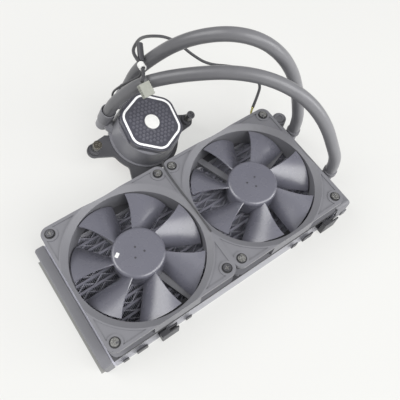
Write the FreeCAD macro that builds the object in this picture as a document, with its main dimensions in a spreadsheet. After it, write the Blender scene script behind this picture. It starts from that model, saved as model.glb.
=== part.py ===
"""All in one liquid cooler for a processor, in millimetres.

A flat radiator lies on its back with two 120 mm fans screwed on top. Two hoses
arch from elbows on the radiator's end tank to elbows on the pump, which leans
on its cold plate behind the radiator. X runs along the radiator towards the
tank with the hose ports, Y from the radiator towards the pump, and Z up from
the surface that the radiator lies on.
"""
import FreeCAD, Part
import math
import os
import re

from FreeCAD import Placement, Rotation, Vector

# Driving dimensions: alias, value, what it is
SIZES = [
    ("radiator_width", 120.0, "across the fans"),
    ("core_half", 122.0, "from the middle to the inner face of each end tank"),
    ("radiator_height", 27.0, "from the floor to the face that the fans sit on"),
    ("tank_height", 24.0, "height of both end tanks"),
    ("tank_wall", 1.6, "wall of both end tanks"),
    ("tank_corner", 3.0, "radius of the tanks' upright corners"),
    ("closed_tank_length", 9.0, "tank without ports, along X"),
    ("port_tank_length", 18.5, "tank with the hose ports, along X"),
    ("port_tank_edge", 4.5, "rounding of the port tank's upper edges"),
    ("header_thickness", 1.5, "plate that the tubes are brazed into"),
    ("header_margin", 1.0, "strip of tank rim outside the header plate"),
    ("tube_count", 12, "flat coolant tubes side by side"),
    ("tube_thickness", 2.0, "narrow side of a flat tube"),
    ("tube_depth", 17.0, "wide side of a flat tube, along Z"),
    ("tube_rise", 13.5, "height of the tubes' middle"),
    ("tube_end", 1.0, "length of tube inside each tank"),
    ("core_width", 98.0, "between the webs of the side channels"),
    ("fin_sheet", 0.4, "sheet of the folded fins"),
    ("fin_fold", 8.0, "length of one fold of the fin strip along X"),
    ("fin_margin", 2.5, "bare tube between a fin strip and a header plate"),
    ("channel_sheet", 1.2, "sheet of the side channels"),
    ("tab_thickness", 1.0, "small tabs on the lower front flange"),
    ("tab_width", 5.6, "small tabs"),
    ("tab_height", 8.0, "small tabs"),
    ("broad_tab_thickness", 1.5, "broad tabs"),
    ("broad_tab_width", 10.5, "broad tabs"),
    ("broad_tab_height", 10.0, "broad tabs"),
    ("hook_length", 16.8, "cable hooks, along X"),
    ("hook_height", 18.0, "cable hooks"),
    ("hook_arm", 1.6, "thickness of a hook's two arms"),
    ("hook_slit", 1.5, "space between the arms"),
    ("hook_root", 8.5, "length of the root that joins the arms"),
    ("hook_foot", 4.0, "reach of the foot over the flange"),
    ("seat_gap", 0.05, "clearance where one piece is pushed into another"),
    ("boss_radius", 7.0, "filling boss on the port tank's corner"),
    ("boss_low", 4.0, "underside of the filling boss"),
    ("boss_high", 26.0, "top of the filling boss"),
    ("plug_radius", 5.2, "filling plug"),
    ("plug_sunk", 2.0, "depth of the plug in its boss"),
    ("plug_height", 3.5, "filling plug"),
    ("groove_radius", 2.9, "round recess in the filling plug"),
    ("groove_depth", 1.0, "round recess in the filling plug"),
    ("fan_width", 120.0, "square fan frame"),
    ("fan_depth", 25.0, "fan frame"),
    ("fan_corner", 7.5, "radius of the frame's upright corners"),
    ("fan_bore", 57.0, "radius of the air duct"),
    ("fan_lip", 62.5, "radius of the flared mouth at the top"),
    ("fan_lip_depth", 3.6, "depth of the flared mouth"),
    ("fan_flange", 4.0, "thickness of the corner flanges"),
    ("fan_duct_wall", 2.2, "wall of the duct between the flanges"),
    ("fan_recess", 38.0, "size of the open corner between the flanges"),
    ("fan_pocket", 0.8, "depth of the shallow corner pockets"),
    ("fan_pocket_margin", 2.6, "flat strip round a corner pocket"),
    ("fan_pad", 6.5, "radius of the raised ring round a screw"),
    ("hole_offset", 52.5, "fan screw from the fan's axis, along X and Y"),
    ("hole_radius", 2.2, "fan screw hole in the frame"),
    ("screw_radius", 1.6, "fan screw's shank"),
    ("screw_fit", 0.1, "clearance of the fan screw in the channel's hole"),
    ("screw_head", 3.4, "radius of the fan screw's head"),
    ("screw_head_height", 1.6, "fan screw's head"),
    ("screw_reach", 1.8, "shank below the channel's flange"),
    ("socket_radius", 1.0, "arm of the cross recess in a screw's head"),
    ("socket_depth", 0.9, "cross recess in a screw's head"),
    ("motor_seat", 21.0, "radius of the plate that carries the fan's motor"),
    ("motor_floor", 2.5, "thickness of that plate"),
    ("strut_count", 4, "struts that hold the motor's plate"),
    ("strut_width", 6.0, "strut"),
    ("strut_turn", 20.0, "angle of the first strut from X"),
    ("hub_radius", 22.7, "impeller hub"),
    ("hub_bore", 20.6, "inside of the hub"),
    ("hub_low", 4.4, "open end of the hub above the frame's underside"),
    ("hub_top", 23.5, "closed end of the hub"),
    ("hub_roof", 2.0, "thickness of the closed end"),
    ("hub_edge", 3.0, "rounding of the closed end"),
    ("hub_boss", 3.2, "radius of the boss that holds the shaft"),
    ("hub_boss_length", 3.5, "length of that boss"),
    ("blade_count", 7, "fan blades"),
    ("blade_tip", 55.5, "radius of the blade tips"),
    ("blade_high", 22.0, "leading edge above the frame's underside"),
    ("blade_low", 5.6, "trailing edge above the frame's underside"),
    ("blade_sheet", 1.7, "thickness of a blade"),
    ("blade_root_chord", 30.0, "angle that a blade covers at the hub"),
    ("blade_tip_chord", 38.0, "angle that a blade covers at its tip"),
    ("blade_lag", 2.5, "angle that the blade's middle lags behind its ends"),
    ("fan_shaft", 1.5, "radius of the fan's shaft"),
    ("shaft_low", 3.2, "foot of the fan's shaft"),
    ("running_fit", 0.05, "clearance of a shaft in its bearing"),
    ("bearing_radius", 4.0, "sleeve bearing"),
    ("bearing_top", 17.0, "sleeve bearing and its tube"),
    ("bearing_tube", 5.5, "tube round the bearing"),
    ("stator_radius", 17.2, "fan motor's stator"),
    ("stator_pole", 8.0, "root radius of the stator's poles"),
    ("stator_low", 6.0, "underside of the stator"),
    ("stator_height", 10.0, "fan motor's stator"),
    ("air_gap", 0.8, "between a stator and its magnet ring"),
    ("board_radius", 19.0, "fan motor's circuit board"),
    ("board_sheet", 1.2, "circuit boards"),
    ("board_gap", 0.3, "circuit board above its plate"),
    ("pump_x", 10.53, "middle of the cold plate"),
    ("pump_y", 117.11, "middle of the cold plate"),
    ("pump_lean", 21.27, "angle between the pump's axis and Z"),
    ("pump_lean_towards", -58.82, "direction that the pump leans in, from X"),
    ("pump_turn", 54.22, "turn of the pump about its axis"),
    ("floor_gap", 0.2, "cold plate's low edge above the floor"),
    ("plate_radius", 27.0, "round cold plate"),
    ("plate_thickness", 3.0, "cold plate"),
    ("fin_block", 26.0, "side of the cold plate's block of fine fins"),
    ("fin_block_height", 3.5, "cold plate's block of fine fins"),
    ("fin_block_count", 12, "fins in the block, coarser than the real ones"),
    ("plate_screw_ring", 24.3, "cold plate screws from the axis"),
    ("plate_screw_count", 8, "cold plate screws"),
    ("plate_screw_radius", 1.2, "cold plate screws"),
    ("plate_screw_sunk", 1.4, "depth of the screw heads in the plate"),
    ("plate_screw_length", 8.0, "cold plate screws"),
    ("gasket_inner", 20.6, "inner radius of the ring gasket"),
    ("gasket_width", 1.6, "ring gasket"),
    ("gasket_height", 1.2, "ring gasket"),
    ("skirt_radius", 33.0, "pump housing at its foot"),
    ("shoulder_radius", 31.0, "pump housing under the cap"),
    ("housing_top", 38.0, "pump housing above the cold plate's face"),
    ("wet_radius", 20.0, "water chamber"),
    ("wet_top", 20.0, "roof of the water chamber"),
    ("dry_wall", 4.0, "wall of the motor's chamber inside the housing's shoulder"),
    ("chamber_roof", 2.0, "between the water chamber and the motor's"),
    ("can_opening", 3.0, "depth of the hole for the can in the water chamber's roof"),
    ("bracket_low", 9.0, "underside of the mounting bracket"),
    ("bracket_sheet", 3.0, "mounting bracket"),
    ("bracket_fit", 0.4, "bracket round the housing"),
    ("bracket_ring", 5.0, "width of the bracket's ring"),
    ("bracket_lip", 1.2, "reach of the housing's lip over the bracket"),
    ("bracket_open", 84.0, "angle left open for the elbows"),
    ("arm_circle", 52.48, "mounting holes from the pump's axis"),
    ("arm_spread", 62.0, "angle between the two arms of a pair"),
    ("arm_end", 7.0, "radius of an arm's end"),
    ("arm_root", 11.0, "half the width of an arm's root"),
    ("arm_flare", 3.5, "widening of that root towards the ring"),
    ("boss_ring", 5.5, "radius of the boss on an arm"),
    ("boss_rise", 4.0, "height of the boss on an arm"),
    ("bolt_radius", 1.9, "shank of a mounting screw"),
    ("bolt_fit", 0.1, "clearance of that shank in its boss"),
    ("bolt_low", 6.0, "foot of a mounting screw"),
    ("bolt_head", 4.2, "radius of a mounting screw's head"),
    ("bolt_head_height", 2.6, "mounting screw's head"),
    ("bolt_head_top", 27.2, "mounting screw's head above the cold plate's face"),
    ("clip_radius", 3.2, "retaining clip on a mounting screw"),
    ("clip_height", 0.8, "retaining clip"),
    ("clip_gap", 0.3, "retaining clip below its arm"),
    ("spring_radius", 3.0, "middle of a mounting spring's wire"),
    ("spring_wire", 0.45, "half the side of a mounting spring's wire"),
    ("spring_turns", 4.0, "mounting spring"),
    ("spring_gap", 0.1, "between a spring's end and what it presses on"),
    ("cap_radius", 32.9, "sharp corner of the hexagonal cap"),
    ("cap_corner", 13.0, "rounding of the cap's corners"),
    ("cap_height", 6.0, "hexagonal cap"),
    ("cap_edge", 0.8, "rounding of the cap's upper edge"),
    ("ring_radius", 30.2, "sharp corner of the light ring"),
    ("ring_corner", 11.5, "rounding of the light ring's corners"),
    ("ring_width", 2.1, "light ring"),
    ("ring_depth", 3.0, "light ring"),
    ("ring_proud", 0.3, "light ring above the cap"),
    ("dimple_pitch", 4.0, "dimples on the cap's plate"),
    ("dimple_size", 3.0, "dimples on the cap's plate"),
    ("dimple_depth", 0.7, "dimples on the cap's plate"),
    ("disc_radius", 7.3, "plain disc in the middle of the cap"),
    ("disc_height", 0.4, "plain disc"),
    ("divider_sheet", 1.5, "wall between the water and the motor"),
    ("can_radius", 8.6, "can round the pump's magnet"),
    ("can_wall", 1.0, "can round the pump's magnet"),
    ("can_height", 12.0, "can round the pump's magnet"),
    ("wheel_radius", 15.0, "pump impeller"),
    ("wheel_low", 11.0, "underside of the pump impeller"),
    ("wheel_sheet", 1.5, "disc of the pump impeller"),
    ("wheel_vane_height", 5.0, "vanes of the pump impeller"),
    ("wheel_vane_sheet", 1.2, "vanes of the pump impeller"),
    ("wheel_vane_count", 6, "vanes of the pump impeller"),
    ("wheel_gap", 0.6, "round the magnet, and above it"),
    ("axle_radius", 1.25, "pump's fixed axle"),
    ("coil_radius", 19.0, "pump motor's stator"),
    ("coil_width", 3.5, "ring of the pump motor's stator"),
    ("coil_height", 9.0, "pump motor's stator"),
    ("coil_pole", 3.6, "width of a stator pole"),
    ("coil_count", 6, "poles of a stator"),
    ("pump_board_edge", 1.0, "between the pump's circuit board and its chamber"),
    ("elbow_towards", 121.0, "side of the pump that the elbows are on"),
    ("elbow_reach", 6.8, "elbow's upright leg beyond the housing's shoulder"),
    ("elbow_apart", 15.0, "each elbow from the middle between them"),
    ("elbow_leg", 6.3, "radius of a pump elbow's upright leg"),
    ("elbow_low", 7.0, "foot of the upright leg"),
    ("elbow_neck", 5.0, "radius of the neck into the housing"),
    ("elbow_neck_rise", 14.0, "neck above the cold plate's face"),
    ("elbow_face", 0.3, "flat face for the neck beyond the housing's shoulder"),
    ("elbow_boss", 12.0, "length of the boss behind that face"),
    ("elbow_boss_wall", 1.0, "that boss round the neck"),
    ("elbow_bore_wall", 2.0, "wall of the elbow's neck"),
    ("elbow_bore", 20.0, "length of the bore from that face into the water chamber"),
    ("ferrule_low", 20.0, "lower end of a pump hose's ferrule"),
    ("ferrule_length", 8.0, "pump hose's ferrule"),
    ("ferrule_radius", 7.2, "outside of a pump ferrule"),
    ("ferrule_grip", 9.0, "sleeve of a pump ferrule along its hose"),
    ("ferrule_room", 0.25, "between that sleeve and its hose"),
    ("port_rise", 12.4, "radiator ports above the floor"),
    ("port_a_y", 36.0, "port of hose A"),
    ("port_b_y", -21.5, "port of hose B"),
    ("port_reach", 7.2, "upright leg of a radiator elbow from the tank's end"),
    ("port_neck", 4.0, "radius of a radiator elbow's neck"),
    ("port_leg", 5.2, "radius of a radiator elbow's upright leg"),
    ("port_foot", 6.0, "underside of a radiator elbow"),
    ("port_ferrule_low", 16.6, "lower end of a radiator ferrule"),
    ("port_ferrule_length", 5.4, "radiator ferrule"),
    ("port_ferrule_radius", 6.8, "outside of a radiator ferrule"),
    ("hose_radius", 5.85, "outside of a hose"),
    ("sleeve_radius", 1.5, "sleeved cable"),
    ("seam_lead_radius", 0.8, "wires along the seam between the fans"),
    ("lead_radius", 1.1, "bundle of fan wires"),
    ("pump_lead_radius", 1.0, "pump's cable"),
    ("label_length", 6.0, "band round the cable"),
    ("label_radius", 3.1, "band round the cable"),
    ("label_gap", 0.4, "between that band and the cable"),
    ("plug_length", 11.5, "grey plug"),
    ("plug_width", 10.5, "grey plug"),
    ("plug_thickness", 6.0, "grey plug"),
    ("plug_rib", 0.5, "height of the plug's ribs"),
    ("plug_rib_count", 5, "ribs round the plug"),
    ("joiner_radius", 2.8, "black joiner on the pump's cable"),
]

doc = FreeCAD.newDocument("liquid_cooler")
sheet = doc.addObject("Spreadsheet::Sheet", "Sizes")
for row, (alias, value, note) in enumerate(SIZES, 1):
    sheet.set("A%d" % row, alias)
    sheet.set("B%d" % row, str(value))
    sheet.set("C%d" % row, note)
    sheet.setAlias("B%d" % row, alias)
doc.recompute()

ALIASES = {alias for alias, value, note in SIZES}
UP = Vector(0, 0, 1)
SIDES = (-1, 1)
nodes = {}


def mm(alias):
    """The value of one cell of the sheet."""
    return float(sheet.get(alias))


def bind(thing, prop, text):
    """Bind a property to a formula in which each alias stands for its cell."""
    tied = re.sub(r"[a-z]\w*", lambda word: "Sizes." + word.group() if word.group() in ALIASES
                  else word.group(), str(text))
    thing.setExpression(prop, tied)


def place(thing, x, y, z):
    for axis, text in zip("xyz", (x, y, z)):
        bind(thing, "Placement.Base." + axis, text)


def box(name, x, y, z, length, width, height):
    thing = doc.addObject("Part::Box", name)
    bind(thing, "Length", length)
    bind(thing, "Width", width)
    bind(thing, "Height", height)
    place(thing, x, y, z)
    return thing


def cylinder(name, x, y, z, radius, height):
    thing = doc.addObject("Part::Cylinder", name)
    bind(thing, "Radius", radius)
    bind(thing, "Height", height)
    place(thing, x, y, z)
    return thing


def fused(name, *things):
    thing = doc.addObject("Part::MultiFuse", name)
    thing.Shapes = list(things)
    return thing


def cut(name, base, *tools):
    thing = doc.addObject("Part::Cut", name)
    thing.Base = base
    thing.Tool = tools[0] if len(tools) == 1 else fused(name + "_tools", *tools)
    return thing


def rounded(name, base, radius, chosen):
    """Round the edges of base that the test picks."""
    doc.recompute()
    thing = doc.addObject("Part::Fillet", name)
    thing.Base = base
    thing.Edges = [(number, radius, radius) for number, edge in enumerate(base.Shape.Edges, 1)
                   if chosen(edge)]
    return thing


def feature(name, shape, placement=None):
    """A sub-part whose shape is worked out from the sheet's values."""
    thing = doc.addObject("Part::Feature", name)
    thing.Shape = shape
    if placement:
        thing.Placement = placement * shape.Placement
    return thing


def node(label, thing):
    """Name a finished sub-part."""
    thing.Label = label
    nodes[label] = thing
    return thing


def upright(edge):
    ends = [vertex.Point for vertex in edge.Vertexes]
    return len(ends) == 2 and (ends[0] - ends[1]).cross(UP).Length < 1e-6


def at_height(z):
    return lambda edge: all(abs(vertex.Z - z) < 1e-6 for vertex in edge.Vertexes)


def turned(shape, degrees, centre=Vector(0, 0, 0), axis=UP):
    copy = shape.copy()
    copy.rotate(centre, axis, degrees)
    return copy


def moved(shape, x, y, z):
    copy = shape.copy()
    copy.translate(Vector(x, y, z))
    return copy


def ring(outer, inner, low, height):
    return Part.makeCylinder(outer, height, Vector(0, 0, low)).cut(
        Part.makeCylinder(inner, height, Vector(0, 0, low)))


def plate(points, low, height):
    """A flat piece with straight sides through the points."""
    corners = [Vector(x, y, low) for x, y in points]
    face = Part.Face(Part.makePolygon(corners + corners[:1]))
    return face.extrude(UP * height)


def cross_recess(top, centre=(0, 0)):
    """The cutter for the cross in a screw's head."""
    arm = mm("socket_radius") * 4
    blade = mm("socket_radius")
    depth = mm("socket_depth")
    bar = Part.makeBox(arm, blade, depth, Vector(-arm / 2, -blade / 2, top - depth))
    return moved(bar.fuse(turned(bar, 90)), centre[0], centre[1], 0)



# Radiator: flat tubes and folded fins between two header plates
def coolant_tubes():
    pitch = tube_pitch()
    reach = mm("core_half") + mm("tube_end")
    low = mm("tube_rise") - mm("tube_depth") / 2
    tubes = []
    for number in range(int(mm("tube_count"))):
        middle = -mm("core_width") / 2 + (number + 1) * pitch - mm("tube_thickness") / 2
        tubes.append(Part.makeBox(2 * reach, mm("tube_thickness"), mm("tube_depth"),
                                  Vector(-reach, middle - mm("tube_thickness") / 2, low)))
    return tubes


def tube_pitch():
    """One tube and the fin strip beside it."""
    strips = mm("tube_count") + 1
    return (mm("core_width") - mm("tube_count") * mm("tube_thickness")) / strips + mm("tube_thickness")


def fin_strips():
    height = tube_pitch() - mm("tube_thickness")
    half = mm("core_half") - mm("header_thickness") - mm("fin_margin")
    folds = 2 * int(half / mm("fin_fold"))
    step = 2 * half / folds
    low = mm("tube_rise") - mm("tube_depth") / 2
    strips = []
    for number in range(int(mm("tube_count")) + 1):
        start = -mm("core_width") / 2 + number * tube_pitch()
        crests = [(-half + fold * step, start + (height - mm("fin_sheet")) * (fold % 2))
                  for fold in range(folds + 1)]
        back = [(x, y + mm("fin_sheet")) for x, y in reversed(crests)]
        strips.append(moved(plate(crests + back, 0, mm("tube_depth")), 0, 0, low))
    return strips


def header_plates():
    margin = mm("header_margin")
    low = margin
    height = mm("tank_height") - 2 * margin
    width = mm("radiator_width") - 2 * margin
    thickness = mm("header_thickness")
    blank = Part.makeBox(thickness, width, height, Vector(mm("core_half") - thickness, -width / 2, low))
    both = [blank, turned(blank, 180)]
    return [one.cut(Part.makeCompound(coolant_tubes())) for one in both]


node("coolant_tubes", feature("coolant_tubes", Part.makeCompound(coolant_tubes())))
node("air_fins", feature("air_fins", Part.makeCompound(fin_strips())))
node("header_plates", feature("header_plates", Part.makeCompound(header_plates())))


# End tanks, open towards the core
def tank(name, start, length, edge_radius):
    """A moulded box whose open side meets the header plate."""
    block = box(name + "_block", start, "-radiator_width / 2", 0, length, "radiator_width", "tank_height")
    corners = rounded(name + "_corners", block, mm("tank_corner"), outer_corner)
    return rounded(name + "_edges", corners, edge_radius, outer_rim(mm("tank_height")))


def outer_corner(edge):
    return upright(edge) and abs(edge.Vertexes[0].X) > mm("core_half") + 1


def outer_rim(z):
    inner = mm("core_half")
    return lambda edge: at_height(z)(edge) and any(abs(v.X) > inner + 1e-3 for v in edge.Vertexes)


closed_block = tank("closed", "-core_half - closed_tank_length", "closed_tank_length", 1.0)
closed_room = box("closed_room", "-core_half - closed_tank_length + tank_wall",
                  "-radiator_width / 2 + tank_wall", "tank_wall", "closed_tank_length - tank_wall",
                  "radiator_width - 2 * tank_wall", "tank_height - 2 * tank_wall")
node("closed_tank", cut("closed_tank", closed_block, closed_room))

port_block = tank("port", "core_half", "port_tank_length", mm("port_tank_edge"))
port_room = box("port_room", "core_half", "-radiator_width / 2 + 2 * tank_wall", "tank_wall",
                "port_tank_length - 2 * tank_wall", "radiator_width - 4 * tank_wall",
                "tank_height - 2 * tank_wall")
end_x = "core_half + port_tank_length"
boss = cylinder("filling_boss", end_x, "hole_offset", "boss_low", "boss_radius", "boss_high - boss_low")
seat = cylinder("plug_seat", end_x, "hole_offset", "boss_high - plug_sunk", "plug_radius + seat_gap",
                "plug_sunk")
lug = box("port_lug", end_x + " - 1 - tab_width", "-radiator_width / 2 - tab_thickness", 0, "tab_width",
          "tab_thickness + tank_wall", "tab_height")
hollow_tank = cut("port_hollow", port_block, port_room)
node("port_tank", cut("port_tank", fused("port_outside", hollow_tank, boss, lug), seat))

plug = cylinder("plug_blank", end_x, "hole_offset", "boss_high - plug_sunk", "plug_radius", "plug_height")
groove = cylinder("plug_groove", end_x, "hole_offset", "boss_high - plug_sunk + plug_height - groove_depth",
                  "groove_radius", "groove_depth")
node("fill_plug", cut("fill_plug", plug, groove))


# Side channels, folded from sheet and open outwards
def channel(side):
    """Web and two flanges along one side of the core, with holes for the fan screws."""
    reach = mm("core_half") - mm("header_thickness")
    outer = mm("radiator_width") / 2
    inner = mm("core_width") / 2
    gauge = mm("channel_sheet")
    top = mm("radiator_height")
    profile = [(inner, 0), (outer, 0), (outer, gauge), (inner + gauge, gauge),
               (inner + gauge, top - gauge), (outer, top - gauge), (outer, top), (inner, top)]
    corners = [Vector(-reach, y, z) for y, z in profile]
    shape = Part.Face(Part.makePolygon(corners + corners[:1])).extrude(Vector(2 * reach, 0, 0))
    hole = mm("screw_radius") + mm("screw_fit")
    for x in screw_columns():
        shape = shape.cut(Part.makeCylinder(hole, top, Vector(x, mm("hole_offset"), 0)))
    return shape if side > 0 else turned(shape, 180)


def screw_columns():
    """The X of each fan screw, four along a side."""
    middle = mm("fan_width") / 2
    return [side * middle + end * mm("hole_offset") for side in SIDES for end in SIDES]


LEFT = -mm("core_half")
RIGHT = mm("core_half")
SMALL_TABS = (LEFT + 7.6, LEFT + 71.0, RIGHT - 51.4)
BROAD_TABS = (LEFT + 21.0, RIGHT - 38.0)
HOOKS = (LEFT + 44.0, RIGHT - 17.5)


def front_tabs():
    """Tabs that stand on the lower flange's edge and point up."""
    face = -mm("radiator_width") / 2
    tabs = [Part.makeBox(mm("tab_width"), mm("tab_thickness"), mm("tab_height"),
                         Vector(x, face - mm("tab_thickness"), 0)) for x in SMALL_TABS]
    for x in BROAD_TABS:
        tabs.append(Part.makeBox(mm("broad_tab_width"), mm("broad_tab_thickness"), mm("broad_tab_height"),
                                 Vector(x, face - mm("broad_tab_thickness"), 0)))
    return tabs


def cable_hooks():
    """Moulded hooks clipped over the lower front flange, each open towards the port tank."""
    face = -mm("radiator_width") / 2
    depth = 2 * mm("hook_arm") + mm("hook_slit")
    hooks = []
    for x in HOOKS:
        hook = Part.makeBox(mm("hook_length"), depth, mm("hook_height"), Vector(x, face - depth, 0))
        slit = Part.makeBox(mm("hook_length"), mm("hook_slit"), mm("hook_height"),
                            Vector(x + mm("hook_root"), face - mm("hook_arm") - mm("hook_slit"), 0))
        foot = Part.makeBox(mm("hook_root"), mm("hook_foot"), mm("hook_arm"),
                            Vector(x, face, mm("channel_sheet")))
        hooks.append(hook.cut(slit).fuse(foot).removeSplitter())
    return hooks


node("side_channel_front", feature("side_channel_front", channel(-1).multiFuse(front_tabs()).removeSplitter()))
node("side_channel_rear", feature("side_channel_rear", channel(1)))
node("cable_hooks", feature("cable_hooks", Part.makeCompound(cable_hooks())))


# Elbows on the port tank
def port_elbow(y):
    """A neck from the tank's end and an upright leg for the hose."""
    start = mm("core_half") + mm("port_tank_length")
    leg_x = start + mm("port_reach")
    top = mm("port_ferrule_low")
    neck = Part.makeCylinder(mm("port_neck"), mm("port_reach"), Vector(start, y, mm("port_rise")),
                             Vector(1, 0, 0))
    leg = Part.makeCylinder(mm("port_leg"), top - mm("port_foot"), Vector(leg_x, y, mm("port_foot")))
    return neck.fuse(leg).removeSplitter()


def port_ferrule(y):
    leg_x = mm("core_half") + mm("port_tank_length") + mm("port_reach")
    return Part.makeCylinder(mm("port_ferrule_radius"), mm("port_ferrule_length"),
                             Vector(leg_x, y, mm("port_ferrule_low")))


port_ys = (mm("port_a_y"), mm("port_b_y"))
node("port_elbows", feature("port_elbows", Part.makeCompound([port_elbow(y) for y in port_ys])))
node("port_ferrules", feature("port_ferrules", Part.makeCompound([port_ferrule(y) for y in port_ys])))


# Fans
def fan_frame():
    """Frame with its duct, corner flanges, pockets, struts and bearing tube."""
    half = mm("fan_width") / 2
    depth = mm("fan_depth")
    block = Part.makeBox(2 * half, 2 * half, depth, Vector(-half, -half, 0))
    shape = block.makeFillet(mm("fan_corner"), [edge for edge in block.Edges if upright(edge)])
    flare = mm("fan_lip_depth")
    duct = Part.makeCylinder(mm("fan_bore"), depth).fuse(
        Part.makeCone(mm("fan_bore"), mm("fan_lip"), flare, Vector(0, 0, depth - flare)))
    shape = shape.cut(duct)
    offset = mm("hole_offset")
    flange = mm("fan_flange")
    recess = Part.makeBox(half, half, depth - 2 * flange,
                          Vector(half - mm("fan_recess"), half - mm("fan_recess"), flange))
    recess = recess.cut(Part.makeCylinder(mm("fan_bore") + mm("fan_duct_wall"), depth))
    edge = half - mm("fan_pocket_margin")
    pocket_low = depth - mm("fan_pocket")
    pocket = Part.makeBox(edge, edge, mm("fan_pocket"), Vector(0, 0, pocket_low))
    pocket = pocket.cut(Part.makeCylinder(mm("fan_lip") + mm("fan_pocket_margin") / 2, depth))
    pocket = pocket.cut(Part.makeCylinder(mm("fan_pad"), depth, Vector(offset, offset, 0)))
    hole = Part.makeCylinder(mm("hole_radius"), depth, Vector(offset, offset, 0))
    corner = Part.makeCompound([recess, pocket, hole])
    for quarter in range(4):
        for cutter in turned(corner, 90 * quarter).Solids:
            shape = shape.cut(cutter)
    floor = mm("motor_floor")
    seat = Part.makeCylinder(mm("motor_seat"), floor)
    tube = ring(mm("bearing_tube"), mm("bearing_radius") + mm("running_fit"), floor,
                mm("bearing_top") - floor)
    strut_length = mm("fan_bore") + 1
    struts = []
    for number in range(int(mm("strut_count"))):
        bar = Part.makeBox(strut_length, mm("strut_width"), flange, Vector(0, -mm("strut_width") / 2, 0))
        bar = bar.cut(Part.makeCylinder(mm("motor_seat") - 1, flange))
        struts.append(turned(bar, mm("strut_turn") + 360 * number / mm("strut_count")))
    return shape.multiFuse([seat, tube] + struts).removeSplitter()


def hub():
    """A cup, open below, with a boss for the shaft."""
    low = mm("hub_low")
    top = mm("hub_top")
    blank = Part.makeCylinder(mm("hub_radius"), top - low, Vector(0, 0, low))
    blank = blank.makeFillet(mm("hub_edge"), [edge for edge in blank.Edges if at_height(top)(edge)])
    roof = top - mm("hub_roof")
    shape = blank.cut(Part.makeCylinder(mm("hub_bore"), roof - low, Vector(0, 0, low)))
    length = mm("hub_boss_length")
    return shape.fuse(ring(mm("hub_boss"), mm("fan_shaft"), roof - length, length))


def blade_section(reach):
    """One section of a blade, in the plane at this distance from the axis."""
    share = (reach - mm("hub_radius")) / (mm("blade_tip") - mm("hub_radius"))
    lead_half = mm("blade_root_chord") / 2 - mm("blade_lag") * 4 * share * (1 - share)
    trail_half = mm("blade_tip_chord") * share + mm("blade_root_chord") * (1 - share) - lead_half
    lead = Vector(reach, reach * math.tan(math.radians(lead_half)), mm("blade_high"))
    trail = Vector(reach, -reach * math.tan(math.radians(trail_half)), mm("blade_low"))
    chord = trail - lead
    across = Vector(0, -chord.z, chord.y).normalize()
    if across.z < 0:
        across = across * -1
    belly = chord.Length * 0.07
    middle = (lead + trail) * 0.5 + across * belly
    half = mm("blade_sheet") / 2
    nose = 0.55 * half
    upper = Part.BSplineCurve()
    upper.interpolate([lead + across * nose, middle + across * half, trail + across * nose])
    lower = Part.BSplineCurve()
    lower.interpolate([trail - across * nose, middle - across * half, lead - across * nose])
    return Part.Wire([upper.toShape(), Part.makeLine(trail + across * nose, trail - across * nose),
                      lower.toShape(), Part.makeLine(lead - across * nose, lead + across * nose)])


def blade():
    """A swept blade, lofted through four sections and trimmed by the hub and the tip circle."""
    root = mm("hub_bore") + 0.2
    outer = mm("blade_tip")
    stations = [root - 2, root + (outer - root) / 3, root + 2 * (outer - root) / 3, outer + 1]
    loft = Part.makeLoft([blade_section(reach) for reach in stations], True, False)
    trim = Part.makeCylinder(outer, mm("fan_depth")).cut(Part.makeCylinder(root, mm("fan_depth")))
    return loft.common(trim)


def impeller(first_edge):
    """Hub and blades, with the first leading edge at this angle from X."""
    one = turned(blade(), first_edge - mm("blade_root_chord") / 2)
    step = 360 / mm("blade_count")
    blades = [turned(one, step * number) for number in range(int(mm("blade_count")))]
    return hub().multiFuse(blades)


def fan_stator(radius, pole_root, width, pole, low, height):
    """Poles on a ring round the bearing tube, with their shoes as one outer rim."""
    inner = ring(pole_root, mm("bearing_tube") + mm("seat_gap"), low, height)
    rim = ring(radius, radius - width, low, height)
    poles = []
    for number in range(4):
        bar = Part.makeBox(radius - 1, pole, height, Vector(0, -pole / 2, low))
        bar = bar.cut(Part.makeCylinder(pole_root - 1, low + height))
        poles.append(turned(bar, 90 * number))
    return inner.multiFuse([rim] + poles).removeSplitter()


def fan_screws():
    top = mm("fan_depth") + mm("screw_head_height")
    shank = mm("fan_depth") + mm("channel_sheet") + mm("screw_reach")
    offset = mm("hole_offset")
    screws = []
    for x in (-offset, offset):
        for y in (-offset, offset):
            head = Part.makeCylinder(mm("screw_head"), mm("screw_head_height"),
                                     Vector(x, y, mm("fan_depth")))
            body = Part.makeCylinder(mm("screw_radius"), shank, Vector(x, y, mm("fan_depth") - shank))
            screws.append(head.fuse(body).removeSplitter().cut(cross_recess(top, (x, y))))
    return screws


FIRST_EDGES = (328.5, 5.5)


def build_fan(number, side):
    label = "fan_%d_" % number
    seat = Placement(Vector(side * mm("fan_width") / 2, 0, mm("radiator_height")), Rotation())
    floor = mm("motor_floor")

    def add(name, shape):
        node(label + name, feature(label + name, shape, seat))

    add("frame", fan_frame())
    add("impeller", impeller(FIRST_EDGES[number - 1]))
    rotor_inner = mm("stator_radius") + mm("air_gap")
    add("magnet_ring", ring(mm("hub_bore") - mm("seat_gap"), rotor_inner, mm("stator_low"),
                            mm("stator_height") + 1))
    roof = mm("hub_top") - mm("hub_roof")
    add("shaft", Part.makeCylinder(mm("fan_shaft"), roof - mm("shaft_low"),
                                   Vector(0, 0, mm("shaft_low"))))
    add("bearing", ring(mm("bearing_radius"), mm("fan_shaft") + mm("running_fit"), floor,
                        mm("bearing_top") - floor))
    add("stator", fan_stator(mm("stator_radius"), mm("stator_pole"), 2.0, 4.0, mm("stator_low"),
                             mm("stator_height")))
    add("circuit_board", ring(mm("board_radius"), mm("bearing_tube") + mm("board_gap"),
                              floor + mm("board_gap"), mm("board_sheet")))
    add("screws", Part.makeCompound(fan_screws()))


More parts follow.
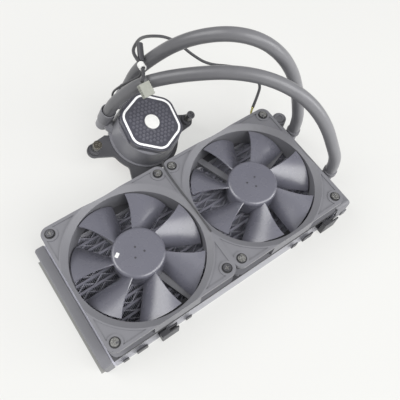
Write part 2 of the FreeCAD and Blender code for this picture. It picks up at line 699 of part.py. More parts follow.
for number, side in enumerate(SIDES, 1):
    build_fan(number, side)


# Pump: built upright about its own axis, then leaned as one
def pump_placement():
    lean = mm("pump_lean")
    rise = mm("plate_radius") * math.sin(math.radians(lean)) + mm("floor_gap")
    turn = (Rotation(UP, mm("pump_lean_towards")) * Rotation(Vector(0, 1, 0), lean)
            * Rotation(UP, mm("pump_turn")))
    return Placement(Vector(mm("pump_x"), mm("pump_y"), rise), turn)


PUMP = pump_placement()


def pump_node(label, shape):
    return node(label, feature(label, shape, PUMP))


def around(radius, degrees):
    angle = math.radians(degrees)
    return radius * math.cos(angle), radius * math.sin(angle)


def hexagon(radius, corner, low, height):
    """A hexagonal prism with rounded upright corners, its first corner 30 degrees from X."""
    blank = plate([around(radius, 30 + 60 * number) for number in range(6)], low, height)
    return blank.makeFillet(corner, [edge for edge in blank.Edges if upright(edge)])


def cold_plate():
    """A copper disc with a block of fins in the water chamber."""
    top = mm("plate_thickness")
    shape = Part.makeCylinder(mm("plate_radius"), top)
    side = mm("fin_block")
    count = int(mm("fin_block_count"))
    pitch = side / count
    fins = [Part.makeBox(side, pitch / 2, mm("fin_block_height"),
                         Vector(-side / 2, -side / 2 + pitch * (fin + 0.25), top)) for fin in range(count)]
    shape = shape.multiFuse(fins)
    for number in range(int(mm("plate_screw_count"))):
        x, y = around(mm("plate_screw_ring"), 360 * number / mm("plate_screw_count"))
        through = Part.makeCylinder(mm("plate_screw_radius") + mm("seat_gap"), top, Vector(x, y, 0))
        sunk = Part.makeCylinder(2 * mm("plate_screw_radius"), mm("plate_screw_sunk"), Vector(x, y, 0))
        shape = shape.cut(through).cut(sunk)
    return shape.removeSplitter()


def plate_screws():
    """Countersunk from below, and clear of the plate's lower face."""
    screws = []
    radius = mm("plate_screw_radius")
    sunk = mm("plate_screw_sunk")
    for number in range(int(mm("plate_screw_count"))):
        x, y = around(mm("plate_screw_ring"), 360 * number / mm("plate_screw_count"))
        head = Part.makeCylinder(2 * radius - mm("seat_gap"), sunk / 2, Vector(x, y, sunk / 2))
        shank = Part.makeCylinder(radius, mm("plate_screw_length") - sunk, Vector(x, y, sunk))
        screws.append(head.fuse(shank).removeSplitter())
    return screws


def plate_screw_holes(depth):
    """Cutters for the threads of the cold plate screws."""
    holes = []
    low = mm("plate_thickness")
    for number in range(int(mm("plate_screw_count"))):
        x, y = around(mm("plate_screw_ring"), 360 * number / mm("plate_screw_count"))
        holes.append(Part.makeCylinder(mm("plate_screw_radius"), depth, Vector(x, y, low)))
    return holes


def elbow_out():
    return mm("shoulder_radius") + mm("elbow_reach")


def elbow_seat():
    return mm("shoulder_radius") + mm("elbow_face")


def dry_radius():
    return mm("shoulder_radius") - mm("dry_wall")


def body_radius(height):
    """The tapered housing's radius at this height."""
    low = mm("plate_thickness")
    share = (height - low) / (mm("housing_top") - low)
    return mm("skirt_radius") + (mm("shoulder_radius") - mm("skirt_radius")) * share


def towards_elbows(shape):
    return turned(shape, mm("elbow_towards"))


def housing():
    """A tapered body with a water chamber below, a motor chamber above and a lip for the bracket."""
    low = mm("plate_thickness")
    top = mm("housing_top")
    shape = Part.makeCone(mm("skirt_radius"), mm("shoulder_radius"), top - low, Vector(0, 0, low))
    lip_low = mm("bracket_low") + mm("bracket_sheet")
    lip = Part.makeCylinder(mm("skirt_radius") + mm("bracket_lip"), mm("bracket_lip"), Vector(0, 0, lip_low))
    beside = mm("elbow_apart") + mm("elbow_leg") + mm("elbow_boss_wall")
    lip = lip.cut(towards_elbows(Part.makeBox(mm("skirt_radius"), 2 * beside, mm("housing_top"),
                                              Vector(elbow_seat() - 3, -beside, 0))))
    rise = mm("elbow_neck_rise")
    seats = []
    for side in SIDES:
        boss = Part.makeCylinder(mm("elbow_neck") + mm("elbow_boss_wall"), mm("elbow_boss"),
                                 Vector(elbow_seat() - mm("elbow_boss"),
                                 side * mm("elbow_apart"), rise), Vector(1, 0, 0))
        seats.append(towards_elbows(boss))
    shape = shape.multiFuse([lip] + seats)
    wet = Part.makeCylinder(mm("wet_radius"), mm("wet_top") - low, Vector(0, 0, low))
    opening = Part.makeCylinder(mm("can_radius") + mm("seat_gap"), mm("can_opening"),
                                Vector(0, 0, mm("wet_top") - mm("seat_gap")))
    dry_low = mm("wet_top") + mm("chamber_roof")
    dry = Part.makeCylinder(dry_radius(), top - dry_low, Vector(0, 0, dry_low))
    trough = ring(mm("gasket_inner") + mm("gasket_width") + mm("seat_gap"),
                  mm("gasket_inner") - mm("seat_gap"), low, mm("gasket_height"))
    shape = shape.cut(wet).cut(opening).cut(dry).cut(trough)
    for side in SIDES:
        duct = Part.makeCylinder(mm("elbow_neck") - mm("elbow_bore_wall"), mm("elbow_bore"),
                                 Vector(elbow_seat() - mm("elbow_bore"),
                                 side * mm("elbow_apart"), rise), Vector(1, 0, 0))
        shape = shape.cut(towards_elbows(duct))
    for hole in plate_screw_holes(mm("plate_screw_length")):
        shape = shape.cut(hole)
    return shape


def pump_elbows():
    """Swivel elbows: a hollow neck out of the housing and an upright leg."""
    elbows = []
    for side in SIDES:
        y = side * mm("elbow_apart")
        out = elbow_out()
        rise = mm("elbow_neck_rise")
        neck = Part.makeCylinder(mm("elbow_neck"), out - elbow_seat(),
                                 Vector(elbow_seat(), y, rise), Vector(1, 0, 0))
        leg = Part.makeCylinder(mm("elbow_leg"), mm("ferrule_low") - mm("elbow_low"),
                                Vector(out, y, mm("elbow_low")))
        duct = Part.makeCylinder(mm("elbow_neck") - mm("elbow_bore_wall"), out - elbow_seat(),
                                 Vector(elbow_seat(), y, rise), Vector(1, 0, 0))
        elbows.append(towards_elbows(neck.fuse(leg).cut(duct)))
    return elbows


def pump_ferrules():
    ferrules = []
    for side in SIDES:
        x = elbow_out()
        y = side * mm("elbow_apart")
        low = mm("ferrule_low")
        collar = Part.makeCylinder(mm("ferrule_radius"), mm("ferrule_length"), Vector(x, y, low))
        grip = ring(mm("ferrule_radius"), mm("hose_radius") + mm("ferrule_room"),
                    low + mm("ferrule_length"), mm("ferrule_grip"))
        grip.translate(Vector(x, y, 0))
        ferrules.append(towards_elbows(collar.fuse(grip).removeSplitter()))
    return ferrules


ARMS = (0.0, mm("arm_spread"), 180.0, 180.0 + mm("arm_spread"))


def bracket():
    """A ring, open at the elbows, with four tapered arms and a boss on each."""
    low = mm("bracket_low")
    gauge = mm("bracket_sheet")
    inner = max(body_radius(low), body_radius(low + gauge)) + mm("bracket_fit")
    outer = inner + mm("bracket_ring")
    shape = ring(outer, inner, low, gauge)
    reach = mm("arm_circle")
    root = mm("arm_root")
    end = mm("arm_end")
    pieces = []
    for angle in ARMS:
        flare = mm("arm_flare")
        arm = plate([(inner, -root - flare), (outer, -root), (reach, -end), (reach, end),
                     (outer, root), (inner, root + flare)], low, gauge)
        tip = Part.makeCylinder(end, gauge, Vector(reach, 0, low))
        boss = Part.makeCylinder(mm("boss_ring"), gauge + mm("boss_rise"), Vector(reach, 0, low))
        pieces += [turned(piece, angle) for piece in (arm, tip, boss)]
    shape = shape.multiFuse(pieces)
    shape = shape.cut(Part.makeCylinder(inner, gauge, Vector(0, 0, low)))
    half_open = math.radians(mm("bracket_open") / 2)
    far = 2 * outer
    gap = plate([(0, 0), (far, -far * math.tan(half_open)), (far, far * math.tan(half_open))], low, gauge)
    gap = gap.common(Part.makeCylinder(outer + 1, gauge, Vector(0, 0, low)))
    shape = shape.cut(towards_elbows(gap))
    for angle in ARMS:
        x, y = around(reach, angle)
        shape = shape.cut(Part.makeCylinder(mm("bolt_radius") + mm("bolt_fit"), 3 * gauge, Vector(x, y, low)))
    return shape.removeSplitter()


def mount_screw(angle):
    """A captive screw: headed above its spring, with a retaining clip under the arm."""
    x, y = around(mm("arm_circle"), angle)
    top = mm("bolt_head_top")
    head_low = top - mm("bolt_head_height")
    clip_top = mm("bracket_low") - mm("clip_gap")
    head = Part.makeCylinder(mm("bolt_head"), mm("bolt_head_height"), Vector(x, y, head_low))
    shank = Part.makeCylinder(mm("bolt_radius"), head_low - mm("bolt_low"), Vector(x, y, mm("bolt_low")))
    clip = Part.makeCylinder(mm("clip_radius"), mm("clip_height"), Vector(x, y, clip_top - mm("clip_height")))
    return head.multiFuse([shank, clip]).removeSplitter().cut(cross_recess(top, (x, y)))


def mount_spring(angle):
    """A coil of square wire between the arm's boss and the screw's head."""
    x, y = around(mm("arm_circle"), angle)
    half = mm("spring_wire")
    low = mm("bracket_low") + mm("bracket_sheet") + mm("boss_rise") + mm("spring_gap") + half
    high = mm("bolt_head_top") - mm("bolt_head_height") - mm("spring_gap") - half
    radius = mm("spring_radius")
    height = high - low
    line = Part.makeHelix(height / mm("spring_turns"), height, radius)
    corners = [Vector(radius + side * half, 0, rise * half)
               for side, rise in ((-1, -1), (1, -1), (1, 1), (-1, 1))]
    wire = Part.makePolygon(corners + corners[:1])
    coil = Part.Wire(line.Edges).makePipeShell([wire], True, True)
    return moved(Part.Solid(coil) if coil.ShapeType == "Shell" else coil, x, y, low)


def cap():
    low = mm("housing_top")
    height = mm("cap_height")
    shape = hexagon(mm("cap_radius"), mm("cap_corner"), low, height)
    shape = shape.makeFillet(mm("cap_edge"), [edge for edge in shape.Edges if at_height(low + height)(edge)])
    recess = hexagon(mm("ring_radius"), mm("ring_corner"), low + height - mm("ring_depth"), mm("ring_depth"))
    return shape.cut(recess)


def inner_hexagon(low, height):
    """The outline inside the light ring."""
    radius = mm("ring_radius") - mm("ring_width") / math.cos(math.radians(30))
    return hexagon(radius, mm("ring_corner") - mm("ring_width"), low, height)


def light_ring():
    low = mm("housing_top") + mm("cap_height") - mm("ring_depth")
    height = mm("ring_depth") + mm("ring_proud")
    return hexagon(mm("ring_radius"), mm("ring_corner"), low, height).cut(inner_hexagon(low, height))


def dimple(x, y, top):
    """A shallow pit of six facets, point down."""
    half = mm("dimple_size") / 2
    corners = [Vector(x + half * math.cos(turn), y + half * math.sin(turn), top)
               for turn in (math.radians(60 * number) for number in range(6))]
    foot = Vector(x, y, top - mm("dimple_depth"))
    faces = [Part.Face(Part.makePolygon(corners + corners[:1]))]
    for number in range(6):
        side = [corners[number], corners[(number + 1) % 6], foot]
        faces.append(Part.Face(Part.makePolygon(side + side[:1])))
    return Part.Solid(Part.Shell(faces))


def dimpled_plate():
    """The plate inside the light ring, with staggered rows of dimples round the plain disc."""
    top = mm("housing_top") + mm("cap_height")
    shape = inner_hexagon(top - mm("ring_depth"), mm("ring_depth"))
    pitch = mm("dimple_pitch")
    inner = mm("disc_radius") + mm("dimple_size") * 0.7
    flat = (mm("ring_radius") * math.cos(math.radians(30)) - mm("ring_width")) - mm("dimple_size") * 0.8
    reach = int(1.2 * mm("ring_radius") / pitch) + 1
    dimples = []
    for row in range(-reach, reach + 1):
        for column in range(-reach, reach + 1):
            x = (column + (row % 2) / 2) * pitch
            y = row * pitch * math.cos(math.radians(30))
            out = max(abs(x * math.cos(turn) + y * math.sin(turn))
                      for turn in (0, math.pi / 3, 2 * math.pi / 3))
            if out < flat and math.hypot(x, y) > inner:
                dimples.append(dimple(x, y, top))
    return shape.cut(Part.makeCompound(dimples))


def divider():
    """The wall between water and motor, with a can for the magnet."""
    low = mm("wet_top") + mm("chamber_roof")
    sheet_top = low + mm("divider_sheet")
    flange = Part.makeCylinder(dry_radius() - mm("seat_gap"), mm("divider_sheet"), Vector(0, 0, low))
    can_low = mm("wet_top")
    can = Part.makeCylinder(mm("can_radius"), sheet_top + mm("can_height") - can_low, Vector(0, 0, can_low))
    room = mm("can_radius") - mm("can_wall")
    depth = sheet_top + mm("can_height") - mm("can_wall") - can_low
    return flange.fuse(can).cut(Part.makeCylinder(room, depth, Vector(0, 0, can_low))).removeSplitter()


def can_roof():
    return mm("wet_top") + mm("chamber_roof") + mm("divider_sheet") + mm("can_height") - mm("can_wall")


def pump_impeller():
    """A vaned wheel moulded round the magnet that turns it."""
    low = mm("wheel_low")
    bore = mm("axle_radius") + mm("running_fit")
    disc = Part.makeCylinder(mm("wheel_radius"), mm("wheel_sheet"), Vector(0, 0, low))
    magnet_radius = mm("can_radius") - mm("can_wall") - mm("wheel_gap")
    magnet = Part.makeCylinder(magnet_radius, can_roof() - mm("wheel_gap") - low, Vector(0, 0, low))
    vanes = []
    vane_low = low + mm("wheel_sheet")
    count = int(mm("wheel_vane_count"))
    for number in range(count):
        length = mm("wheel_radius") - magnet_radius + 1
        vane = Part.makeBox(length, mm("wheel_vane_sheet"), mm("wheel_vane_height"),
                            Vector(magnet_radius - 1, -mm("wheel_vane_sheet") / 2, vane_low))
        vane = turned(vane, -25, Vector(magnet_radius - 1, 0, 0))
        vane = vane.common(Part.makeCylinder(mm("wheel_radius"), mm("fan_depth"), Vector(0, 0, low)))
        vanes.append(turned(vane, 360 * number / count))
    shape = disc.multiFuse([magnet] + vanes)
    return shape.cut(Part.makeCylinder(bore, 3 * mm("fan_depth"))).removeSplitter()


def pump_axle():
    low = mm("plate_thickness") + mm("fin_block_height")
    return Part.makeCylinder(mm("axle_radius"), can_roof() - low, Vector(0, 0, low))


def pump_stator():
    """A ring with poles that point at the can."""
    low = mm("wet_top") + mm("chamber_roof") + mm("divider_sheet")
    height = mm("coil_height")
    shape = ring(mm("coil_radius"), mm("coil_radius") - mm("coil_width"), low, height)
    poles = []
    count = int(mm("coil_count"))
    for number in range(count):
        bar = Part.makeBox(mm("coil_radius") - 1, mm("coil_pole"), height,
                           Vector(0, -mm("coil_pole") / 2, low))
        poles.append(turned(bar, 360 * number / count))
    shape = shape.multiFuse(poles)
    clear = Part.makeCylinder(mm("can_radius") + mm("seat_gap"), height, Vector(0, 0, low))
    return shape.cut(clear).removeSplitter()


def pump_board():
    """The circuit board on top of the stator, with a hole round the can."""
    low = mm("wet_top") + mm("chamber_roof") + mm("divider_sheet") + mm("coil_height") + mm("board_gap")
    return ring(dry_radius() - mm("pump_board_edge"), mm("can_radius") + mm("board_gap"), low, mm("board_sheet"))


def central_disc():
    low = mm("housing_top") + mm("cap_height")
    return Part.makeCylinder(mm("disc_radius"), mm("disc_height"), Vector(0, 0, low))


pump_node("cold_plate", cold_plate())
pump_node("cold_plate_screws", Part.makeCompound(plate_screws()))
gasket_outer = mm("gasket_inner") + mm("gasket_width")
pump_node("pump_gasket", ring(gasket_outer, mm("gasket_inner"), mm("plate_thickness"), mm("gasket_height")))
pump_node("pump_housing", housing())
pump_node("pump_cap", cap())
pump_node("light_ring", light_ring())
pump_node("dimpled_plate", dimpled_plate())
pump_node("cap_disc", central_disc())
pump_node("pump_divider", divider())
pump_node("pump_impeller", pump_impeller())
pump_node("pump_axle", pump_axle())
pump_node("pump_stator", pump_stator())
pump_node("pump_board", pump_board())
pump_node("pump_elbows", Part.makeCompound(pump_elbows()))
pump_node("pump_ferrules", Part.makeCompound(pump_ferrules()))
pump_node("mounting_bracket", bracket())
for number, angle in enumerate(ARMS, 1):
    pump_node("mount_screw_%d" % number, mount_screw(angle))
    pump_node("mount_spring_%d" % number, mount_spring(angle))


# Hoses and cables
def pump_port(side):
    """Top of a ferrule on the pump, and the point that leads the hose straight out of it."""
    x, y = around(1, mm("elbow_towards"))
    across = side * mm("elbow_apart")
    top = mm("ferrule_low") + mm("ferrule_length")
    start = Vector(x * elbow_out() - y * across, y * elbow_out() + x * across, top)
    return PUMP.multVec(start), PUMP.multVec(start + UP * 18)


def radiator_port(y):
    x = mm("core_half") + mm("port_tank_length") + mm("port_reach")
    return Vector(x, y, mm("port_ferrule_low") + mm("port_ferrule_length"))


def bend(before, corner, after):
    """Where the largest fitting arc leaves each run, its middle, and its radius."""
    back = before - corner
    ahead = after - corner
    shorter = min(back.Length, ahead.Length)
    back.normalize()
    ahead.normalize()
    half_turn = (math.pi - back.getAngle(ahead)) / 2
    inset = 0.45 * shorter
    radius = inset / math.tan(half_turn)
    bisector = (back + ahead).normalize()
    middle = corner + bisector * (radius / math.cos(half_turn) - radius)
    return corner + back * inset, middle, corner + ahead * inset, radius


def cord(label, points, radius):
    """A round tube along straight runs joined by tangent arcs."""
    edges = []
    last = points[0]
    radii = []
    for before, corner, after in zip(points, points[1:], points[2:]):
        start, middle, end, arc_radius = bend(before, corner, after)
        radii.append(arc_radius)
        edges.append(Part.LineSegment(last, start).toShape())
        edges.append(Part.Arc(start, middle, end).toShape())
        last = end
    edges.append(Part.LineSegment(last, points[-1]).toShape())
    path = Part.Wire(edges)
    circle = Part.Wire([Part.makeCircle(radius, points[0], points[1] - points[0])])
    tube = path.makePipeShell([circle], True, True)
    shape = tube if tube.ShapeType == "Solid" else Part.Solid(tube)
    expected = math.pi * radius ** 2 * path.Length
    print("%s: length %.1f, radii %s, volume against section x length %.4f" % (
        label, path.Length, " ".join("%.1f" % one for one in radii), shape.Volume / expected))
    node(label, feature(label, shape))
    return path


def route(*points):
    return [Vector(*point) for point in points]


HOSE_A = route((24, 136, 87), (34, 125, 107), (46, 111, 128), (60, 95.5, 144), (77, 78, 153.5),
               (94, 63, 151.5), (109.5, 53, 138), (123, 45.5, 117), (134, 41, 90), (142, 38, 62))
HOSE_B = route((0.5, 119, 86), (12, 110, 102), (29, 96, 114), (48, 80, 123), (69, 63, 129),
               (89, 45, 129), (106, 27, 122.5), (120, 10, 109), (131, -4, 88), (140, -14, 62))

port_a, lead_a = pump_port(-1)
port_b, lead_b = pump_port(1)
end_a = radiator_port(mm("port_a_y"))
end_b = radiator_port(mm("port_b_y"))
rise = Vector(0, 0, 17)
cord("hose_a", [port_a, lead_a] + HOSE_A + [end_a + rise, end_a], mm("hose_radius"))
cord("hose_b", [port_b, lead_b] + HOSE_B + [end_b + rise, end_b], mm("hose_radius"))

FAN_1_LEAD = route((0, -19, 52.9), (0.5, 8, 53.1), (-0.4, 34, 53), (0.6, 55, 53.2), (3, 62.5, 50),
                   (12, 63.5, 44), (32, 62.2, 40), (56, 63.2, 38), (80, 62.4, 38.5), (98, 63.4, 39.5))
FAN_2_LEAD = route((107, 60.6, 41), (110, 64.5, 39.5), (114, 69.3, 37.3), (119, 72.8, 36.6))
TRUNK = route((119.1, 72.9, 36.6), (133, 82.6, 34.6), (146, 93, 35), (147, 112, 35.5), (134, 128, 36),
              (112, 142, 38), (100, 156, 47), (91, 167, 58), (79, 173, 68), (61, 172, 79),
              (46.5, 164, 91), (34.5, 151, 103), (22.5, 138.5, 109.5), (19.6, 122.5, 113.5),
              (17.2, 108.5, 116.4), (9.76, 101.21, 115.22))
PUMP_LEAD = route((3.5, 133.9, 51.4), (-0.6, 142.3, 55), (-0.5, 141.5, 66), (3.5, 135.5, 77),
                  (8.5, 128.8, 86.5), (13.5, 122.3, 95), (17.8, 117.2, 102), (21, 120, 107.4),
                  (23.7, 125.2, 108.5))

cord("fan_1_lead", FAN_1_LEAD, mm("seam_lead_radius"))
cord("fan_2_lead", FAN_2_LEAD, mm("lead_radius"))
cord("cable_trunk", TRUNK, mm("sleeve_radius"))
cord("pump_lead", PUMP_LEAD, mm("pump_lead_radius"))



def cable_label():
    """A band folded round the cable, halfway along its straightest run."""
    run = TRUNK[-2] - TRUNK[-3]
    middle = TRUNK[-3] + run * 0.5 + UP * 0.1
    start = middle - run.normalize() * (mm("label_length") / 2)
    band = ring(mm("label_radius"), mm("sleeve_radius") + mm("label_gap"), 0, mm("label_length"))
    return start, middle, band


def grey_plug():
    """A flat ribbed plug that lies against hose B."""
    length = mm("plug_length")
    width = mm("plug_width")
    depth = mm("plug_thickness")
    rib = mm("plug_rib")
    shape = Part.makeBox(width - 2 * rib, depth, length, Vector(-width / 2 + rib, -depth / 2, 0))
    count = int(mm("plug_rib_count"))
    for number in range(count):
        rib_height = length / (2 * count)
        shape = shape.fuse(Part.makeBox(width, depth - 2 * rib, rib_height,
                           Vector(-width / 2, -depth / 2 + rib, rib_height * (2 * number + 0.5))))
    return shape.removeSplitter()


start, end, band = cable_label()
node("cable_label", feature("cable_label", band, Placement(start, Rotation(UP, end - start))))

PLUG_START = Vector(9.77, 100.16, 114.55)
PLUG_FOOT = Vector(9.83, 90.47, 108.37)
plug_axis = (PLUG_FOOT - PLUG_START).normalize()
thin = Vector(0.06, -0.7, 0.71)
thin = (thin - plug_axis * thin.dot(plug_axis)).normalize()
wide = thin.cross(plug_axis)
plug_turn = Rotation(wide, thin, plug_axis, "ZYX")
node("grey_plug", feature("grey_plug", grey_plug(), Placement(PLUG_START, plug_turn)))

JOINER_END = Vector(31.3, 140, 112.3)
node("pump_joiner", feature("pump_joiner", Part.makeCylinder(
    mm("joiner_radius"), (JOINER_END - PUMP_LEAD[-1]).Length, PUMP_LEAD[-1], JOINER_END - PUMP_LEAD[-1])))


# Check every object, then write one file for each sub-part
doc.recompute()
for thing in doc.Objects:
    if "Invalid" in thing.State or "Error" in thing.State:
        raise RuntimeError("%s is not valid: %s" % (thing.Name, thing.State))
os.makedirs("parts", exist_ok=True)
for label, thing in nodes.items():
    shape = thing.Shape
    if shape.isNull() or not shape.isValid() or not shape.Solids:
        raise RuntimeError("%s has no valid solid" % label)
    shape.exportStep("parts/%s.step" % label)
low = min(thing.Shape.BoundBox.ZMin for thing in nodes.values())
print("%d sub-parts, %d solids, lowest point %.3f" % (
    len(nodes), sum(len(thing.Shape.Solids) for thing in nodes.values()), low))
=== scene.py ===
"""All in one liquid cooler for a processor, lying on a pale table.

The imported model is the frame: every size and place here is read from it, or is a
length in metres in the same frame. X runs along the radiator towards the tank with
the hose ports, Y from the radiator towards the pump, and Z up.
"""
import math

import bmesh
import bpy
from mathutils import Matrix, Vector


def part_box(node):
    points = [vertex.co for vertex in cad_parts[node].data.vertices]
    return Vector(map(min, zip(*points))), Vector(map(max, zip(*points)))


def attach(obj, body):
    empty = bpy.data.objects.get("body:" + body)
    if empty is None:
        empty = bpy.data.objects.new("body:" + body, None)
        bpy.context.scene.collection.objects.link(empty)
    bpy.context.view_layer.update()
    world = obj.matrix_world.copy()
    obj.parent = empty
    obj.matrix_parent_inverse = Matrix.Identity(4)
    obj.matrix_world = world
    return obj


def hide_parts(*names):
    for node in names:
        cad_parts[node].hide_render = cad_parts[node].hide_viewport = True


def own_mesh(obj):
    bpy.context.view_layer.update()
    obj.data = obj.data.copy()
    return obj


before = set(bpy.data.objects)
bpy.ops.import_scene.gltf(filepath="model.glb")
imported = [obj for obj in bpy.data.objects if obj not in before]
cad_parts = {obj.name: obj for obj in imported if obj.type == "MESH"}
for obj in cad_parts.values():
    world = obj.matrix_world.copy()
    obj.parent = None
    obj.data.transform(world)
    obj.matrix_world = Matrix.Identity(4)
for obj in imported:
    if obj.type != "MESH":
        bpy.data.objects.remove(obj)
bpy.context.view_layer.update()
MM = 0.001
scene = bpy.context.scene


# Camera: the photograph's place, aim and angle of view
CAMERA_PLACE = Vector((-114.12, -126.17, 421.91)) * MM
CAMERA_RIGHT = Vector((0.81932819, -0.56986961, 0.06284865))
CAMERA_DOWN = Vector((-0.48932583, -0.75219753, -0.44131521))
CAMERA_AHEAD = Vector((0.29876672, 0.33082853, -0.89514855))
SENSOR_WIDTH = 36.0
IMAGE_WIDTH = 400
FOCAL_PIXELS = 474.0

# Soft boxes: name, direction from the object, width in metres and power in watts
SOFT_BOXES = (
    ("window", (0.12, -0.62, 0.77), 2.1, 44.0),
    ("second_window", (-0.55, 0.38, 0.74), 2.0, 38.0),
    ("low_window", (0.66, -0.67, 0.34), 1.5, 27.0),
)
SOFT_BOX_DISTANCE = 2.5
SOFT_BOX_AIM = Vector((0.01, 0.04, 0.04))
ROOM_COLOUR = (1.0, 1.0, 0.99, 1.0)
ROOM_STRENGTH = 0.33

# Every length from here on is in millimetres, unless its comment says metres

# Table: its reach in metres, the field under the radiator that gets painted shade, the faint
# glow left there, and the painted glow added beyond it
TABLE_REACH = 6.0
SHADE_HALF_X = 134
SHADE_HALF_Y = 58
UNDER_RADIATOR_GLOW = 0.045
PAINTED_TABLE_GLOW = 0.525

# Hoses: the places along X where the painted light on them begins and where it is full
LIGHT_START_X = 40
LIGHT_FULL_X = 150

# Mounting screws: where the black ones begin
BLACK_SCREW_X = 30

# Fans: screws from the middle, height of the hub's end, painted shade on the sides, and the drive
# recess, which gets a painted glint
SCREW_PLACE = 52.5
HUB_HEIGHT = 23.5
LOWER_SHADE_HEIGHT = 4.6
SIDE_REACH = 59
RECESS_RADIUS = 1.05
RECESS_DEPTH = 3

# Core: twelve flat tubes across its width, thin fins between them, and the side channels
CORE_WIDTH = 98.0
TUBES = 12
TUBE_THICKNESS = 2.0
FIN_PITCH = 1.6
FIN_REACH = 73
FIN_MIDDLE = 13.5
FIN_HEIGHT = 15.8
FIN_THICKNESS = 0.2
FIN_CLEARANCE = 0.1
TAB_CLEARANCE = 0.2
# From this height up, the upper flange's tip gets painted shade
SHADE_FROM_HEIGHT = 25

# Meshes: what counts as one place in metres, as one plane, and as a sharp edge
SAME_PLACE = 0.5e-6
SAME_PLANE = math.radians(0.5)
SHARP_ON_SOLIDS = math.radians(30)
SHARP_ON_NEW = math.radians(35)
DIMPLE_LEAN = (math.radians(5), math.radians(60))


def make_camera():
    """The camera that took the photograph."""
    lens = bpy.data.cameras.new("camera")
    lens.sensor_width = SENSOR_WIDTH
    lens.lens = SENSOR_WIDTH * FOCAL_PIXELS / IMAGE_WIDTH
    lens.clip_start = 0.01
    camera = bpy.data.objects.new("camera", lens)
    scene.collection.objects.link(camera)
    turn = Matrix((CAMERA_RIGHT, -CAMERA_DOWN, -CAMERA_AHEAD)).transposed().to_4x4()
    camera.matrix_world = Matrix.Translation(CAMERA_PLACE) @ turn
    scene.camera = camera


def soft_light(name, direction, width, power):
    """A round soft box that faces the middle of the object."""
    lamp = bpy.data.lights.new(name, "AREA")
    lamp.shape = "DISK"
    lamp.size = width
    lamp.energy = power
    holder = bpy.data.objects.new(name, lamp)
    scene.collection.objects.link(holder)
    away = Vector(direction).normalized()
    holder.location = SOFT_BOX_AIM + away * SOFT_BOX_DISTANCE
    holder.rotation_euler = away.to_track_quat("Z", "Y").to_euler()


def make_studio():
    """The soft boxes, a dim white room and the table."""
    for box in SOFT_BOXES:
        soft_light(*box)
    world = bpy.data.worlds.new("room")
    scene.world = world
    world.use_nodes = True
    background = world.node_tree.nodes["Background"]
    background.inputs["Color"].default_value = ROOM_COLOUR
    background.inputs["Strength"].default_value = ROOM_STRENGTH
    scene.view_settings.view_transform = "Standard"
    table = bmesh.new()
    bmesh.ops.create_grid(table, x_segments=1, y_segments=1, size=TABLE_REACH)
    mesh = bpy.data.meshes.new("table")
    table.to_mesh(mesh)
    table.free()
    top = bpy.data.objects.new("table", mesh)
    scene.collection.objects.link(top)
    # The table's glow and the shade under the radiator are painted
    top.data.materials.append(painted_glow_table())


# Materials
def linear(code):
    """An sRGB hex value as linear red, green, blue and alpha."""
    parts = [int(code[i:i + 2], 16) / 255 for i in (1, 3, 5)]
    return [c / 12.92 if c <= 0.04045 else ((c + 0.055) / 1.055) ** 2.4 for c in parts] + [1.0]


def add(tree, kind, inputs=None, **settings):
    """Add one node with its settings, values and links."""
    node = tree.nodes.new(kind)
    for name, value in settings.items():
        setattr(node, name, value)
    for name, value in (inputs or {}).items():
        if isinstance(value, bpy.types.NodeSocket):
            tree.links.new(value, node.inputs[name])
        else:
            node.inputs[name].default_value = value
    return node


def blank(name):
    """A material with its shader, its tree and its Object coordinates."""
    material = bpy.data.materials.new(name)
    material.use_nodes = True
    tree = material.node_tree
    shader = tree.nodes["Principled BSDF"]
    place = add(tree, "ShaderNodeTexCoord").outputs["Object"]
    return material, tree, shader, place


def mottle(tree, place, light, dark, patch):
    """Two near colours in soft patches of this size in metres."""
    noise = add(tree, "ShaderNodeTexNoise", {"Vector": place, "Scale": 1 / patch, "Detail": 3.0})
    mix = add(tree, "ShaderNodeMix", {"Factor": noise.outputs["Fac"]}, data_type="RGBA")
    mix.inputs["A"].default_value = linear(dark)
    mix.inputs["B"].default_value = linear(light)
    return mix.outputs["Result"]


def rough(tree, place, low, high, patch):
    """Roughness that wanders between two values."""
    noise = add(tree, "ShaderNodeTexNoise", {"Vector": place, "Scale": 1 / patch, "Detail": 4.0})
    spread = add(tree, "ShaderNodeMapRange", {"Value": noise.outputs["Fac"], "From Min": 0.3,
                                              "From Max": 0.7, "To Min": low, "To Max": high})
    return spread.outputs["Result"]


def maths(tree, operation, *values):
    """The result of one operation on sockets and numbers."""
    return add(tree, "ShaderNodeMath", dict(enumerate(values)), operation=operation).outputs[0]


def bump(tree, height, distance, strength=1.0):
    """The normal over these heights; the distance is their full depth in metres."""
    node = add(tree, "ShaderNodeBump", {"Height": height, "Distance": distance,
                                        "Strength": strength})
    return node.outputs["Normal"]


def relief(tree, place, grain, depth):
    """A fine bump of this grain and depth in metres."""
    noise = add(tree, "ShaderNodeTexNoise", {"Vector": place, "Scale": 1 / grain, "Detail": 2.0})
    return bump(tree, noise.outputs["Fac"], depth)


def wire_up(tree, shader, colour, roughness=None, normal=None, **values):
    """Connect what varies, and set the rest on the shader's own sockets."""
    for name, socket in (("Base Color", colour), ("Roughness", roughness), ("Normal", normal)):
        if socket is not None:
            tree.links.new(socket, shader.inputs[name])
    for name, value in values.items():
        shader.inputs[name.replace("_", " ")].default_value = value


def surface(name, colours, roughness, grain, **values):
    """A material with two mottled colours, wandering roughness and a fine grain.

    colours are light, dark and patch; roughness is low, high and patch; grain is size and
    depth. Sizes are in metres.
    """
    material, tree, shader, place = blank(name)
    wire_up(tree, shader, mottle(tree, place, *colours), rough(tree, place, *roughness),
            relief(tree, place, *grain), **values)
    return material


